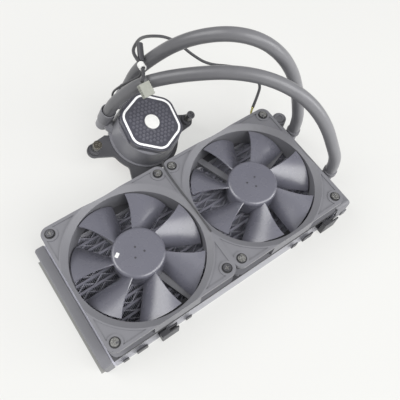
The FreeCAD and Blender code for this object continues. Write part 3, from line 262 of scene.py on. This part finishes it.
def painted_glow_table():
    """Opal acrylic with a painted glow, which keeps its shadows pale, and painted shade under the
    radiator.
    """
    material, tree, shader, place = blank("table_painted_glow")
    wire_up(tree, shader, mottle(tree, place, "#8e8e8c", "#8a8a88", 0.2),
            Roughness=0.85, Emission_Color=linear("#fdfdfb"))
    # Painted light: the table glows, but only faintly over the radiator's footprint, as painted
    # shade
    apart = add(tree, "ShaderNodeSeparateXYZ", {0: place})
    outside = []
    for axis, half in (("X", SHADE_HALF_X), ("Y", SHADE_HALF_Y)):
        away = maths(tree, "ABSOLUTE", apart.outputs[axis])
        outside.append(maths(tree, "GREATER_THAN", away, half * MM))
    added = maths(tree, "MULTIPLY", maths(tree, "MAXIMUM", *outside), PAINTED_TABLE_GLOW)
    glow = maths(tree, "ADD", added, UNDER_RADIATOR_GLOW)
    tree.links.new(glow, shader.inputs["Emission Strength"])
    return material


def filled_nylon():
    """Glass filled nylon with a fine spark grain: grey black, silky, small soft highlights."""
    return surface("glass_filled_nylon_black", ("#7c7c81", "#747479", 0.02), (0.42, 0.52, 0.004),
                   (0.0007, 0.00002), IOR=1.53)


def fan_blade_plastic():
    """PBT from a polished tool: smoother than the frame, so each blade has a broad sheen."""
    return surface("pbt_black_smooth", ("#6c6c77", "#62626c", 0.03), (0.24, 0.3, 0.01),
                   (0.0012, 0.000004), IOR=1.57, Coat_Weight=0.8, Coat_Roughness=0.3)


def powder_coat():
    """Black powder coat on folded aluminium: fine orange peel and a dull sheen."""
    return surface("powder_coat_black", ("#7e7e83", "#747479", 0.015), (0.4, 0.5, 0.003),
                   (0.0009, 0.00003), IOR=1.5)


def core_paint():
    """Thin matt paint sprayed into the core, its black painted pale: painted light that lifts the
    shade between the fins.
    """
    return surface("sprayed_core_black", ("#c6c6d2", "#babac5", 0.006), (0.5, 0.7, 0.002),
                   (0.0006, 0.00002), IOR=1.5)


def tube_paint():
    """The same paint on the flat tubes: bluish and even, painted darker than the fins as painted
    shade on their lit edges.
    """
    return surface("paint_tubes", ("#9a9aa7", "#90909c", 0.01), (0.55, 0.65, 0.004),
                   (0.001, 0.00001), IOR=1.5)


def pump_abs():
    """ABS with a mild mould texture: the pump's housing and the elbows."""
    return surface("abs_textured_black", ("#88888e", "#7e7e84", 0.015), (0.36, 0.46, 0.003),
                   (0.0008, 0.00002), IOR=1.54)


def cap_gloss():
    """Polycarbonate from a polished tool: deep black with a wet shine."""
    return surface("polycarbonate_gloss_black", ("#50505a", "#47474f", 0.01), (0.16, 0.24, 0.004),
                   (0.003, 0.00001), IOR=1.585)


def light_guide():
    """Frosted acrylic light guide: milky white, with a faint painted glow that keeps it white."""
    return surface("acrylic_frosted_white", ("#fbfbfb", "#f3f4f6", 0.006), (0.3, 0.4, 0.003),
                   (0.0008, 0.000008), IOR=1.49, Subsurface_Weight=0.25,
                   Subsurface_Radius=(0.002, 0.002, 0.002),
                   Emission_Color=linear("#ffffff"), Emission_Strength=0.12)


def hose_rubber():
    """EPDM hose, extruded: satin, with faint lines along it; painted light makes it lighter
    towards the tank.
    """
    material, tree, shader, place = blank("epdm_rubber_black")
    apart = add(tree, "ShaderNodeSeparateXYZ", {0: place})
    # Painted light: the tone runs from darker at the pump's end to lighter at the tank's
    lit_share = add(tree, "ShaderNodeMapRange", {"Value": apart.outputs["X"],
                                             "From Min": LIGHT_START_X * MM, "From Max": LIGHT_FULL_X * MM})
    tone = add(tree, "ShaderNodeMix", {"Factor": lit_share.outputs["Result"]}, data_type="RGBA")
    tree.links.new(mottle(tree, place, "#6a6a6d", "#606063", 0.012), tone.inputs["A"])
    tree.links.new(mottle(tree, place, "#8a8a8e", "#7e7e82", 0.012), tone.inputs["B"])
    uv = add(tree, "ShaderNodeTexCoord").outputs["UV"]
    lines = add(tree, "ShaderNodeMapping", {"Vector": uv, "Scale": (2.0, 40.0, 1.0)})
    draw = add(tree, "ShaderNodeTexNoise", {"Vector": lines.outputs["Vector"], "Scale": 1.0,
                                            "Detail": 3.0})
    wire_up(tree, shader, tone.outputs["Result"], rough(tree, place, 0.3, 0.38, 0.005),
            bump(tree, draw.outputs["Fac"], 0.00005), IOR=1.52)
    return material


def cable_sleeve():
    """Black PVC sleeve with a slight haze."""
    return surface("pvc_sleeve_black", ("#4a4a4d", "#3e3e41", 0.006), (0.38, 0.5, 0.002),
                   (0.0006, 0.00002), IOR=1.53)


def paired_wires():
    """A black and a yellow wire twisted together: PVC, smooth, with dark grooves between them."""
    material, tree, shader, place = blank("pvc_wires_twisted")
    uv = add(tree, "ShaderNodeTexCoord").outputs["UV"]
    axes = add(tree, "ShaderNodeSeparateXYZ", {"Vector": uv})
    climb = maths(tree, "MULTIPLY_ADD", axes.outputs["X"], 9.0, axes.outputs["Y"])
    strand = maths(tree, "FRACT", climb)
    ramp = add(tree, "ShaderNodeValToRGB", {"Fac": strand})
    ramp.color_ramp.elements[0].color = linear("#3c3c3f")
    ramp.color_ramp.elements[0].position = 0.45
    ramp.color_ramp.elements[1].color = linear("#d8cf6a")
    ramp.color_ramp.elements[1].position = 0.55
    wave = maths(tree, "PINGPONG", strand, 0.5)
    wire_up(tree, shader, ramp.outputs["Color"], rough(tree, place, 0.3, 0.4, 0.002),
            bump(tree, wave, 0.0004), IOR=1.53)
    return material


def plug_nylon():
    """Natural nylon, grey and faintly green, with flow marks along its ribs."""
    return surface("nylon_light_grey", ("#9fa198", "#86887f", 0.003), (0.4, 0.5, 0.002),
                   (0.0006, 0.00003), IOR=1.53)


def label_vinyl():
    """White vinyl, smooth, with a faint wrinkle: the label, the cap's disc and the patch."""
    return surface("vinyl_white", ("#f2f2f0", "#e2e2e0", 0.003), (0.35, 0.45, 0.003),
                   (0.002, 0.00008), IOR=1.5)


def zinc_steel():
    """Zinc plated steel: pale grey metal with tiny scratches, brighter where it was turned."""
    return surface("steel_zinc_plated", ("#c9c9c6", "#9d9c9a", 0.002), (0.22, 0.38, 0.001),
                   (0.0004, 0.00001), Metallic=1.0)


def dimple_satin_and_light():
    """The same polycarbonate on the dimples' facets: satin, and painted paler for the light that
    the facets catch.
    """
    return surface("polycarbonate_dimples_painted_light", ("#60606a", "#55555e", 0.01), (0.3, 0.4, 0.004),
                   (0.002, 0.00001), IOR=1.585)


def bracket_coat():
    """Black electrocoat on pressed steel: thin, even and darker than the plastic."""
    return surface("electrocoat_black", ("#56565a", "#4a4a4e", 0.01), (0.35, 0.45, 0.003),
                   (0.0008, 0.00002), IOR=1.5)


def worn_nickel():
    """Nickel plate gone warm and slightly dull on the mounting screw's head."""
    return surface("nickel_plate_worn", ("#8a857b", "#5c5953", 0.002), (0.25, 0.4, 0.001),
                   (0.0005, 0.00001), Metallic=1.0)


def rail_painted_reflection():
    """Glossy enamel on the core's side channels, painted pale grey: a painted reflection of the
    pale table at a low angle.
    """
    return surface("enamel_painted_reflection", ("#cdcdd1", "#c2c2c7", 0.012), (0.14, 0.22, 0.004),
                   (0.002, 0.00001), IOR=1.55, Coat_Weight=1.0, Coat_Roughness=0.1)


def blackened_steel():
    """Steel screws with a black oxide coat: dark and oily; the pale glint in the fans' screw
    recesses is painted light.
    """
    return surface("steel_black_oxide", ("#8d8d92", "#59595d", 0.0015), (0.25, 0.4, 0.001),
                   (0.0004, 0.00001), Metallic=0.9)


def dark_nylon_and_shade():
    """Dark nylon, softly shiny: the cable hooks, the joiner and the side channels' tabs; on the
    channels' flange tips it is painted shade.
    """
    return surface("nylon_dark_and_painted_shade", ("#4a4a4e", "#404044", 0.01), (0.4, 0.5, 0.003),
                   (0.001, 0.00001), IOR=1.53)


def lower_shade_paint():
    """Painted shade on the fans' lower edges: a matt, dark line where shade falls between fan and
    core.
    """
    return surface("painted_shade_lower_edge", ("#2c2c30", "#242427", 0.008), (0.65, 0.75, 0.003),
                   (0.001, 0.00002), IOR=1.5)


def milled_copper():
    """Copper face milled flat: warm, with fine rings left by the cutter."""
    material, tree, shader, place = blank("copper_milled")
    rings = add(tree, "ShaderNodeTexWave", {"Vector": place, "Scale": 700.0, "Distortion": 1.0},
                wave_type="RINGS", rings_direction="SPHERICAL")
    wire_up(tree, shader, mottle(tree, place, "#d08a63", "#b8734e", 0.004),
            rough(tree, place, 0.22, 0.34, 0.002),
            bump(tree, rings.outputs["Fac"], 0.00001, 0.6), Metallic=1.0)
    return material


def stator_steel():
    """Stacked laminations and copper windings under varnish."""
    material, tree, shader, place = blank("laminations_varnished")
    layers = add(tree, "ShaderNodeTexWave", {"Vector": place, "Scale": 300.0}, bands_direction="Z")
    wire_up(tree, shader, mottle(tree, place, "#8a5f3c", "#5c4330", 0.002),
            rough(tree, place, 0.35, 0.5, 0.002),
            bump(tree, layers.outputs["Fac"], 0.0001, 0.8), Metallic=0.7)
    return material


def ferrite_and_shade():
    """Ferrite magnet: charcoal, dull and gritty; also the gate marks, and the painted shade in the
    screws' seats.
    """
    return surface("ferrite_magnet", ("#2f2f31", "#232325", 0.002), (0.6, 0.75, 0.001),
                   (0.0004, 0.00003), IOR=1.6)


def sintered_bronze():
    """Oil soaked bronze sleeve: dark gold with open pores."""
    return surface("bronze_sintered", ("#a98552", "#8a6a3e", 0.001), (0.35, 0.5, 0.001),
                   (0.0003, 0.00003), Metallic=1.0)


def board_laminate():
    """Glass epoxy board with green solder resist."""
    return surface("epoxy_board_green", ("#20663a", "#17502c", 0.004), (0.25, 0.35, 0.002),
                   (0.0008, 0.00003), IOR=1.5)


# Cords: the routes of the hoses and cables, in millimetres from the same frame
HOSE_A = [
    (13.701, 146.825, 49.299), (17.082, 141.238, 66.073), (24, 136, 87), (34, 125, 107),
    (46, 111, 128), (60, 95.5, 144), (77, 78, 153.5), (94, 63, 151.5), (109.5, 53, 138),
    (123, 45.5, 117), (134, 41, 90), (142, 38, 62), (147.7, 36, 39), (147.7, 36, 22),
]
HOSE_B = [
    (-13.082, 133.339, 50.206), (-9.701, 127.753, 66.980), (0.5, 119, 86), (12, 110, 102),
    (29, 96, 114), (48, 80, 123), (69, 63, 129), (89, 45, 129), (106, 27, 122.5),
    (120, 10, 109), (131, -4, 88), (140, -14, 62), (147.7, -21.5, 39), (147.7, -21.5, 22),
]
FAN_1_LEAD = [
    (0, -19, 52.9), (0.5, 8, 53.1), (-0.4, 34, 53), (0.6, 55, 53.2), (3, 62.5, 50),
    (12, 63.5, 44), (32, 62.2, 40), (56, 63.2, 38), (80, 62.4, 38.5), (98, 63.4, 39.5),
]
FAN_2_LEAD = [(107, 60.6, 41), (110, 64.5, 39.5), (114, 69.3, 37.3), (119, 72.8, 36.6)]
TRUNK = [
    (119.1, 72.9, 36.6), (133, 82.6, 34.6), (146, 93, 35), (147, 112, 35.5), (134, 128, 36),
    (112, 142, 38), (100, 156, 47), (91, 167, 58), (79, 173, 68), (61, 172, 79),
    (46.5, 164, 91), (34.5, 151, 103), (22.5, 138.5, 109.5), (19.6, 122.5, 113.5),
    (17.2, 108.5, 116.4), (9.76, 101.21, 115.22),
]
PUMP_LEAD = [
    (3.5, 133.9, 51.4), (-0.6, 142.3, 55), (-0.5, 141.5, 66), (3.5, 135.5, 77), (8.5, 128.8, 86.5),
    (13.5, 122.3, 95), (17.8, 117.2, 102), (21, 120, 107.4), (23.7, 125.2, 108.5),
]


# Radius and length of each cord
CORD_SIZES = {
    "hose_a": (5.85, 315.6),
    "hose_b": (5.85, 318.3),
    "fan_1_lead": (0.8, 179.0),
    "fan_2_lead": (1.1, 17.9),
    "cable_trunk": (1.5, 274.1),
    "pump_lead": (1.0, 78.9),
}


def run_cord(name, points, material):
    """One smooth round tube along the route."""
    curve = bpy.data.curves.new(name, "CURVE")
    curve.dimensions = "3D"
    curve.bevel_depth = CORD_SIZES[name][0] * MM
    curve.bevel_resolution = 5
    curve.use_fill_caps = True
    spline = curve.splines.new("NURBS")
    spline.points.add(len(points) - 1)
    for point, at in zip(spline.points, points):
        point.co = (at[0] * MM, at[1] * MM, at[2] * MM, 1.0)
    spline.order_u = 3
    spline.use_endpoint_u = True
    spline.resolution_u = 12
    spline.use_smooth = True
    piece = bpy.data.objects.new(name + "_run", curve)
    scene.collection.objects.link(piece)
    piece.data.materials.append(material)
    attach(piece, "cooler")
    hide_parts(name)
    return piece


# Pieces
def link_piece(name, mesh, material, sharp):
    """The mesh as an object in this material, smooth but for edges sharper than this angle."""
    for face in mesh.faces:
        face.smooth = True
    for line in mesh.edges:
        line.smooth = len(line.link_faces) == 2 and line.calc_face_angle() < sharp
    data = bpy.data.meshes.new(name)
    mesh.to_mesh(data)
    mesh.free()
    piece = bpy.data.objects.new(name, data)
    scene.collection.objects.link(piece)
    data.materials.append(material)
    return piece


def finished(name, material, edge=0.0, *, body="cooler"):
    """Stands for one of the model's solids, with its sharp edges rounded by this much."""
    mesh = bmesh.new()
    mesh.from_mesh(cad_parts[name].data)
    bmesh.ops.remove_doubles(mesh, verts=mesh.verts, dist=SAME_PLACE)
    bmesh.ops.dissolve_degenerate(mesh, dist=SAME_PLACE, edges=mesh.edges)
    bmesh.ops.dissolve_limit(mesh, angle_limit=SAME_PLANE, verts=mesh.verts, edges=mesh.edges)
    piece = link_piece(name + "_finished", mesh, material, SHARP_ON_SOLIDS)
    if edge:
        rounding = piece.modifiers.new("broken_edges", "BEVEL")
        rounding.width = edge * MM
        rounding.segments = 2
        rounding.limit_method = "ANGLE"
        rounding.angle_limit = SHARP_ON_SOLIDS
        rounding.harden_normals = True
    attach(piece, body)
    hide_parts(name)
    return piece


def coat(names, material):
    """Nodes whose shape is right take a better material."""
    for name in names:
        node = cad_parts[name]
        for holder in node.material_slots:
            holder.material = material
        if not node.material_slots:
            node.data.materials.append(material)


def new_piece(name, mesh, material, body):
    """A small piece that the solids leave out, riding on its body."""
    bmesh.ops.recalc_face_normals(mesh, faces=mesh.faces)
    piece = link_piece(name, mesh, material, SHARP_ON_NEW)
    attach(piece, body)


def add_ring(mesh, centre, inner, outer, low, high):
    """A flat ring, turned from its small rectangular section."""
    x, y = centre
    section = [mesh.verts.new(Vector((x + r, y, z)) * MM)
               for r, z in ((inner, low), (outer, low), (outer, high), (inner, high))]
    sides = [mesh.edges.new((section[i], section[(i + 1) % 4])) for i in range(4)]
    bmesh.ops.spin(mesh, geom=section + sides, cent=Vector((x, y, 0)) * MM, axis=(0, 0, 1),
                   angle=math.tau, steps=40, use_merge=True)


def fine_fins(material):
    """The thin upright fins that fill the spaces between the tubes."""
    width = (CORE_WIDTH - TUBES * TUBE_THICKNESS) / (TUBES + 1)
    size = (FIN_THICKNESS * MM, (width - FIN_CLEARANCE) * MM, FIN_HEIGHT * MM, 1.0)
    mesh = bmesh.new()
    for strip in range(TUBES + 1):
        y = -CORE_WIDTH / 2 + strip * (width + TUBE_THICKNESS) + width / 2
        for number in range(-FIN_REACH, FIN_REACH + 1):
            place = Matrix.Translation(Vector((number * FIN_PITCH, y, FIN_MIDDLE)) * MM)
            bmesh.ops.create_cube(mesh, size=1.0, matrix=place @ Matrix.Diagonal(size))
    new_piece("fine_fins", mesh, material, "cooler")


def shaded_screw_seats(fan, material):
    """A dark ring round each screw's head, a hair proud of the flange: painted shade in the seat.
    """
    low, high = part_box(fan + "_frame")
    middle = (low + high) / 2 / MM
    top = high.z / MM
    inner, outer, sunk, proud = 3.45, 4.5, 0.3, 0.12
    mesh = bmesh.new()
    for x in (-SCREW_PLACE, SCREW_PLACE):
        for y in (-SCREW_PLACE, SCREW_PLACE):
            at = (middle.x + x, middle.y + y)
            add_ring(mesh, at, inner, outer, top - sunk, top + proud)
    new_piece(fan + "_shaded_screw_seats", mesh, material, "cooler")


def gate_marks(fan, turn, material):
    """Three round marks where the plastic entered the mould, on the hub's flat end."""
    x, y, top = hub_face(fan)
    inner, outer, sunk, proud = 0.25, 0.85, 0.2, 0.08
    mesh = bmesh.new()
    for angle, reach in ((90, 5.0), (215, 5.6), (335, 5.2)):
        spot = math.radians(angle + turn)
        at = (x + reach * math.cos(spot), y + reach * math.sin(spot))
        add_ring(mesh, at, inner, outer, top - sunk, top + proud)
    new_piece(fan + "_gate_marks", mesh, material, fan + "_rotor")


def repaint(piece, material, chosen):
    """Gives this material to the faces that the test chooses."""
    piece.data.materials.append(material)
    for face in piece.data.polygons:
        if chosen(face):
            face.material_index = 1


def stand_out(piece, material):
    """Puts dark nylon on the tabs beyond the fan frames, and painted shade on the upper flange's
    tip, in the gap under the fans.
    """
    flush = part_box("fan_1_frame")[1].y + TAB_CLEARANCE * MM
    repaint(piece, material,
            lambda face: abs(face.center.y) > flush or face.center.z > SHADE_FROM_HEIGHT * MM)


def lower_edge(piece, name, material):
    """Puts painted shade on the outer edge of a fan frame's lower flange."""
    low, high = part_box(name)
    middle = (low + high) / 2
    lower_shade_top = low.z + LOWER_SHADE_HEIGHT * MM
    mesh = bmesh.new()
    mesh.from_mesh(piece.data)
    whole = mesh.verts[:] + mesh.edges[:] + mesh.faces[:]
    bmesh.ops.bisect_plane(mesh, geom=whole, dist=1e-7, plane_co=(0, 0, lower_shade_top),
                           plane_no=(0, 0, 1))
    mesh.to_mesh(piece.data)
    mesh.free()

    def in_lower_shade(face):
        away = face.center - middle
        side = max(abs(away.x), abs(away.y)) > SIDE_REACH * MM
        return side and abs(face.normal.z) < 0.3 and face.center.z < lower_shade_top

    repaint(piece, material, in_lower_shade)


def painted_recess_glint(piece, middle, material):
    """Puts a painted glint of bright metal in the drive recess of the four screws round a fan's
    middle.
    """
    top = max(face.center.z for face in piece.data.polygons)

    def in_glint(face):
        away = face.center - middle
        off = Vector((abs(away.x) - SCREW_PLACE * MM, abs(away.y) - SCREW_PLACE * MM)).length
        return off < RECESS_RADIUS * MM and face.center.z > top - RECESS_DEPTH * MM

    repaint(piece, material, in_glint)


def press_spring(number, material):
    """The spring under a mounting screw's head, with a mesh of its own."""
    spring = finished("mount_spring_" + number, material)
    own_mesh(spring)


def hub_face(fan):
    """The hub's axis and the height of its flat end."""
    low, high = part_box(fan + "_frame")
    middle = (low + high) / 2 / MM
    return middle.x, middle.y, low.z / MM + HUB_HEIGHT


def cap_axis():
    """The direction that the pump's cap faces."""
    best = max(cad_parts["cap_disc"].data.polygons, key=lambda face: face.area)
    return best.normal if best.normal.z > 0 else -best.normal


def light_on_dimples(piece, material):
    """Puts the satin look and painted light on the dimples' facets, which lean away from the cap's
    axis.
    """
    flat = cap_axis()
    least, most = DIMPLE_LEAN
    repaint(piece, material, lambda face: least < face.normal.angle(flat) < most)


def balance_patch(material):
    """A small blank white patch near the first hub's rim."""
    size = Vector((4.4, 2.9, 0.3)) * MM
    place = Vector((-76.0, 6.8, hub_face("fan_1")[2])) * MM
    turn = Matrix.Rotation(math.radians(35), 3, "Z")
    mesh = bmesh.new()
    bmesh.ops.create_cube(mesh, size=1.0)
    bmesh.ops.scale(mesh, vec=size, verts=mesh.verts)
    upright = [line for line in mesh.edges
               if abs(line.verts[0].co.z - line.verts[1].co.z) > size.z / 3]
    bmesh.ops.bevel(mesh, geom=upright, offset=0.5 * MM, segments=3, profile=0.5,
                    affect="EDGES", material=-1)
    bmesh.ops.rotate(mesh, cent=(0, 0, 0), matrix=turn, verts=mesh.verts)
    bmesh.ops.translate(mesh, vec=place, verts=mesh.verts)
    new_piece("balance_patch", mesh, material, "fan_1_rotor")


def make_looks():
    """Every material, made once."""
    return {
        "nylon": filled_nylon(),
        "blades": fan_blade_plastic(),
        "powder": powder_coat(),
        "core": core_paint(),
        "tubes": tube_paint(),
        "hooks": dark_nylon_and_shade(),
        "lower_shade": lower_shade_paint(),
        "ferrite_and_shade": ferrite_and_shade(),
        "abs": pump_abs(),
        "gloss": cap_gloss(),
        "dimples": dimple_satin_and_light(),
        "guide": light_guide(),
        "rubber": hose_rubber(),
        "sleeve": cable_sleeve(),
        "wires": paired_wires(),
        "vinyl": label_vinyl(),
        "plug": plug_nylon(),
        "zinc_and_glint": zinc_steel(),
        "black_steel": blackened_steel(),
        "nickel": worn_nickel(),
        "bracket": bracket_coat(),
        "enamel": rail_painted_reflection(),
        "copper": milled_copper(),
        "windings": stator_steel(),
        "bronze": sintered_bronze(),
        "board": board_laminate(),
    }


def make_cords(looks):
    """Hoses and leads, and what hangs on them."""
    # Both hoses carry painted light, lighter towards the tank
    hose_a = run_cord("hose_a", HOSE_A, looks["rubber"])
    hose_b = run_cord("hose_b", HOSE_B, looks["rubber"])
    lead_1 = run_cord("fan_1_lead", FAN_1_LEAD, looks["sleeve"])
    run_cord("fan_2_lead", FAN_2_LEAD, looks["wires"])
    trunk = run_cord("cable_trunk", TRUNK, looks["sleeve"])
    pump_lead = run_cord("pump_lead", PUMP_LEAD, looks["sleeve"])
    label = finished("cable_label", looks["vinyl"], 0.1)
    plug = finished("grey_plug", looks["plug"], 0.25)
    joiner = finished("pump_joiner", looks["hooks"], 0.3)


def make_radiator(looks):
    """Core, tanks, side channels, cable hooks and hose ports."""
    # The core's paint is painted pale and the tubes' darker: painted light and painted shade
    coat(["air_fins", "header_plates"], looks["core"])
    coat(["coolant_tubes"], looks["tubes"])
    fine_fins(looks["core"])
    for name in ("closed_tank", "port_tank", "fill_plug"):
        finished(name, looks["powder"], 0.4)
    for name in ("side_channel_front", "side_channel_rear"):
        # The channels' pale grey is a painted reflection; their upper flange tips get painted
        # shade
        stand_out(finished(name, looks["enamel"], 0.3), looks["hooks"])
    finished("cable_hooks", looks["hooks"], 0.4)
    finished("port_elbows", looks["abs"], 0.5)
    finished("port_ferrules", looks["powder"], 0.5)


def make_fan(fan, mark_turn, looks):
    """One fan's frame, impeller, screws and motor."""
    low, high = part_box(fan + "_frame")
    housing = finished(fan + "_frame", looks["nylon"], 0.35)
    # Painted shade along the frame's lower edge
    lower_edge(housing, fan + "_frame", looks["lower_shade"])
    finished(fan + "_impeller", looks["blades"], 0.2, body=fan + "_rotor")
    screws = finished(fan + "_screws", looks["black_steel"], 0.12)
    # Painted glint in the screws' drive recesses
    painted_recess_glint(screws, (low + high) / 2, looks["zinc_and_glint"])
    # Painted shade: a dark ring round each screw's head
    shaded_screw_seats(fan, looks["ferrite_and_shade"])
    gate_marks(fan, mark_turn, looks["ferrite_and_shade"])
    coat([fan + "_magnet_ring"], looks["ferrite_and_shade"])
    coat([fan + "_shaft"], looks["zinc_and_glint"])
    coat([fan + "_bearing"], looks["bronze"])
    coat([fan + "_stator"], looks["windings"])
    coat([fan + "_circuit_board"], looks["board"])


def make_pump(looks):
    """The pump with its cap, cold plate, elbows and bracket."""
    coat(["cold_plate"], looks["copper"])
    coat(["pump_axle", "cold_plate_screws"], looks["zinc_and_glint"])
    coat(["pump_stator"], looks["windings"])
    coat(["pump_board"], looks["board"])
    coat(["pump_gasket"], looks["rubber"])
    coat(["pump_divider", "pump_impeller"], looks["abs"])
    finished("pump_housing", looks["abs"], 0.4)
    finished("pump_cap", looks["gloss"], 0.4)
    # The light ring's faint glow is painted light
    finished("light_ring", looks["guide"], 0.2)
    # The dimples' facets get painted light
    light_on_dimples(finished("dimpled_plate", looks["gloss"]), looks["dimples"])
    finished("cap_disc", looks["vinyl"], 0.1)
    finished("pump_elbows", looks["abs"], 0.5)
    finished("pump_ferrules", looks["powder"], 0.5)
    finished("mounting_bracket", looks["bracket"], 0.3)


def make_mounting_screws(looks):
    """The four sprung screws, black on one side of the pump and nickel on the other."""
    for number in "1234":
        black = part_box("mount_screw_" + number)[0].x > BLACK_SCREW_X * MM
        head = looks["black_steel"] if black else looks["nickel"]
        finished("mount_screw_" + number, head, 0.25, body="screw_" + number)
        press_spring(number, looks["zinc_and_glint"])


def main():
    make_camera()
    make_studio()
    looks = make_looks()
    make_cords(looks)
    make_radiator(looks)
    make_fan("fan_1", 0.0, looks)
    make_fan("fan_2", 180.0, looks)
    balance_patch(looks["vinyl"])
    make_pump(looks)
    make_mounting_screws(looks)


main()
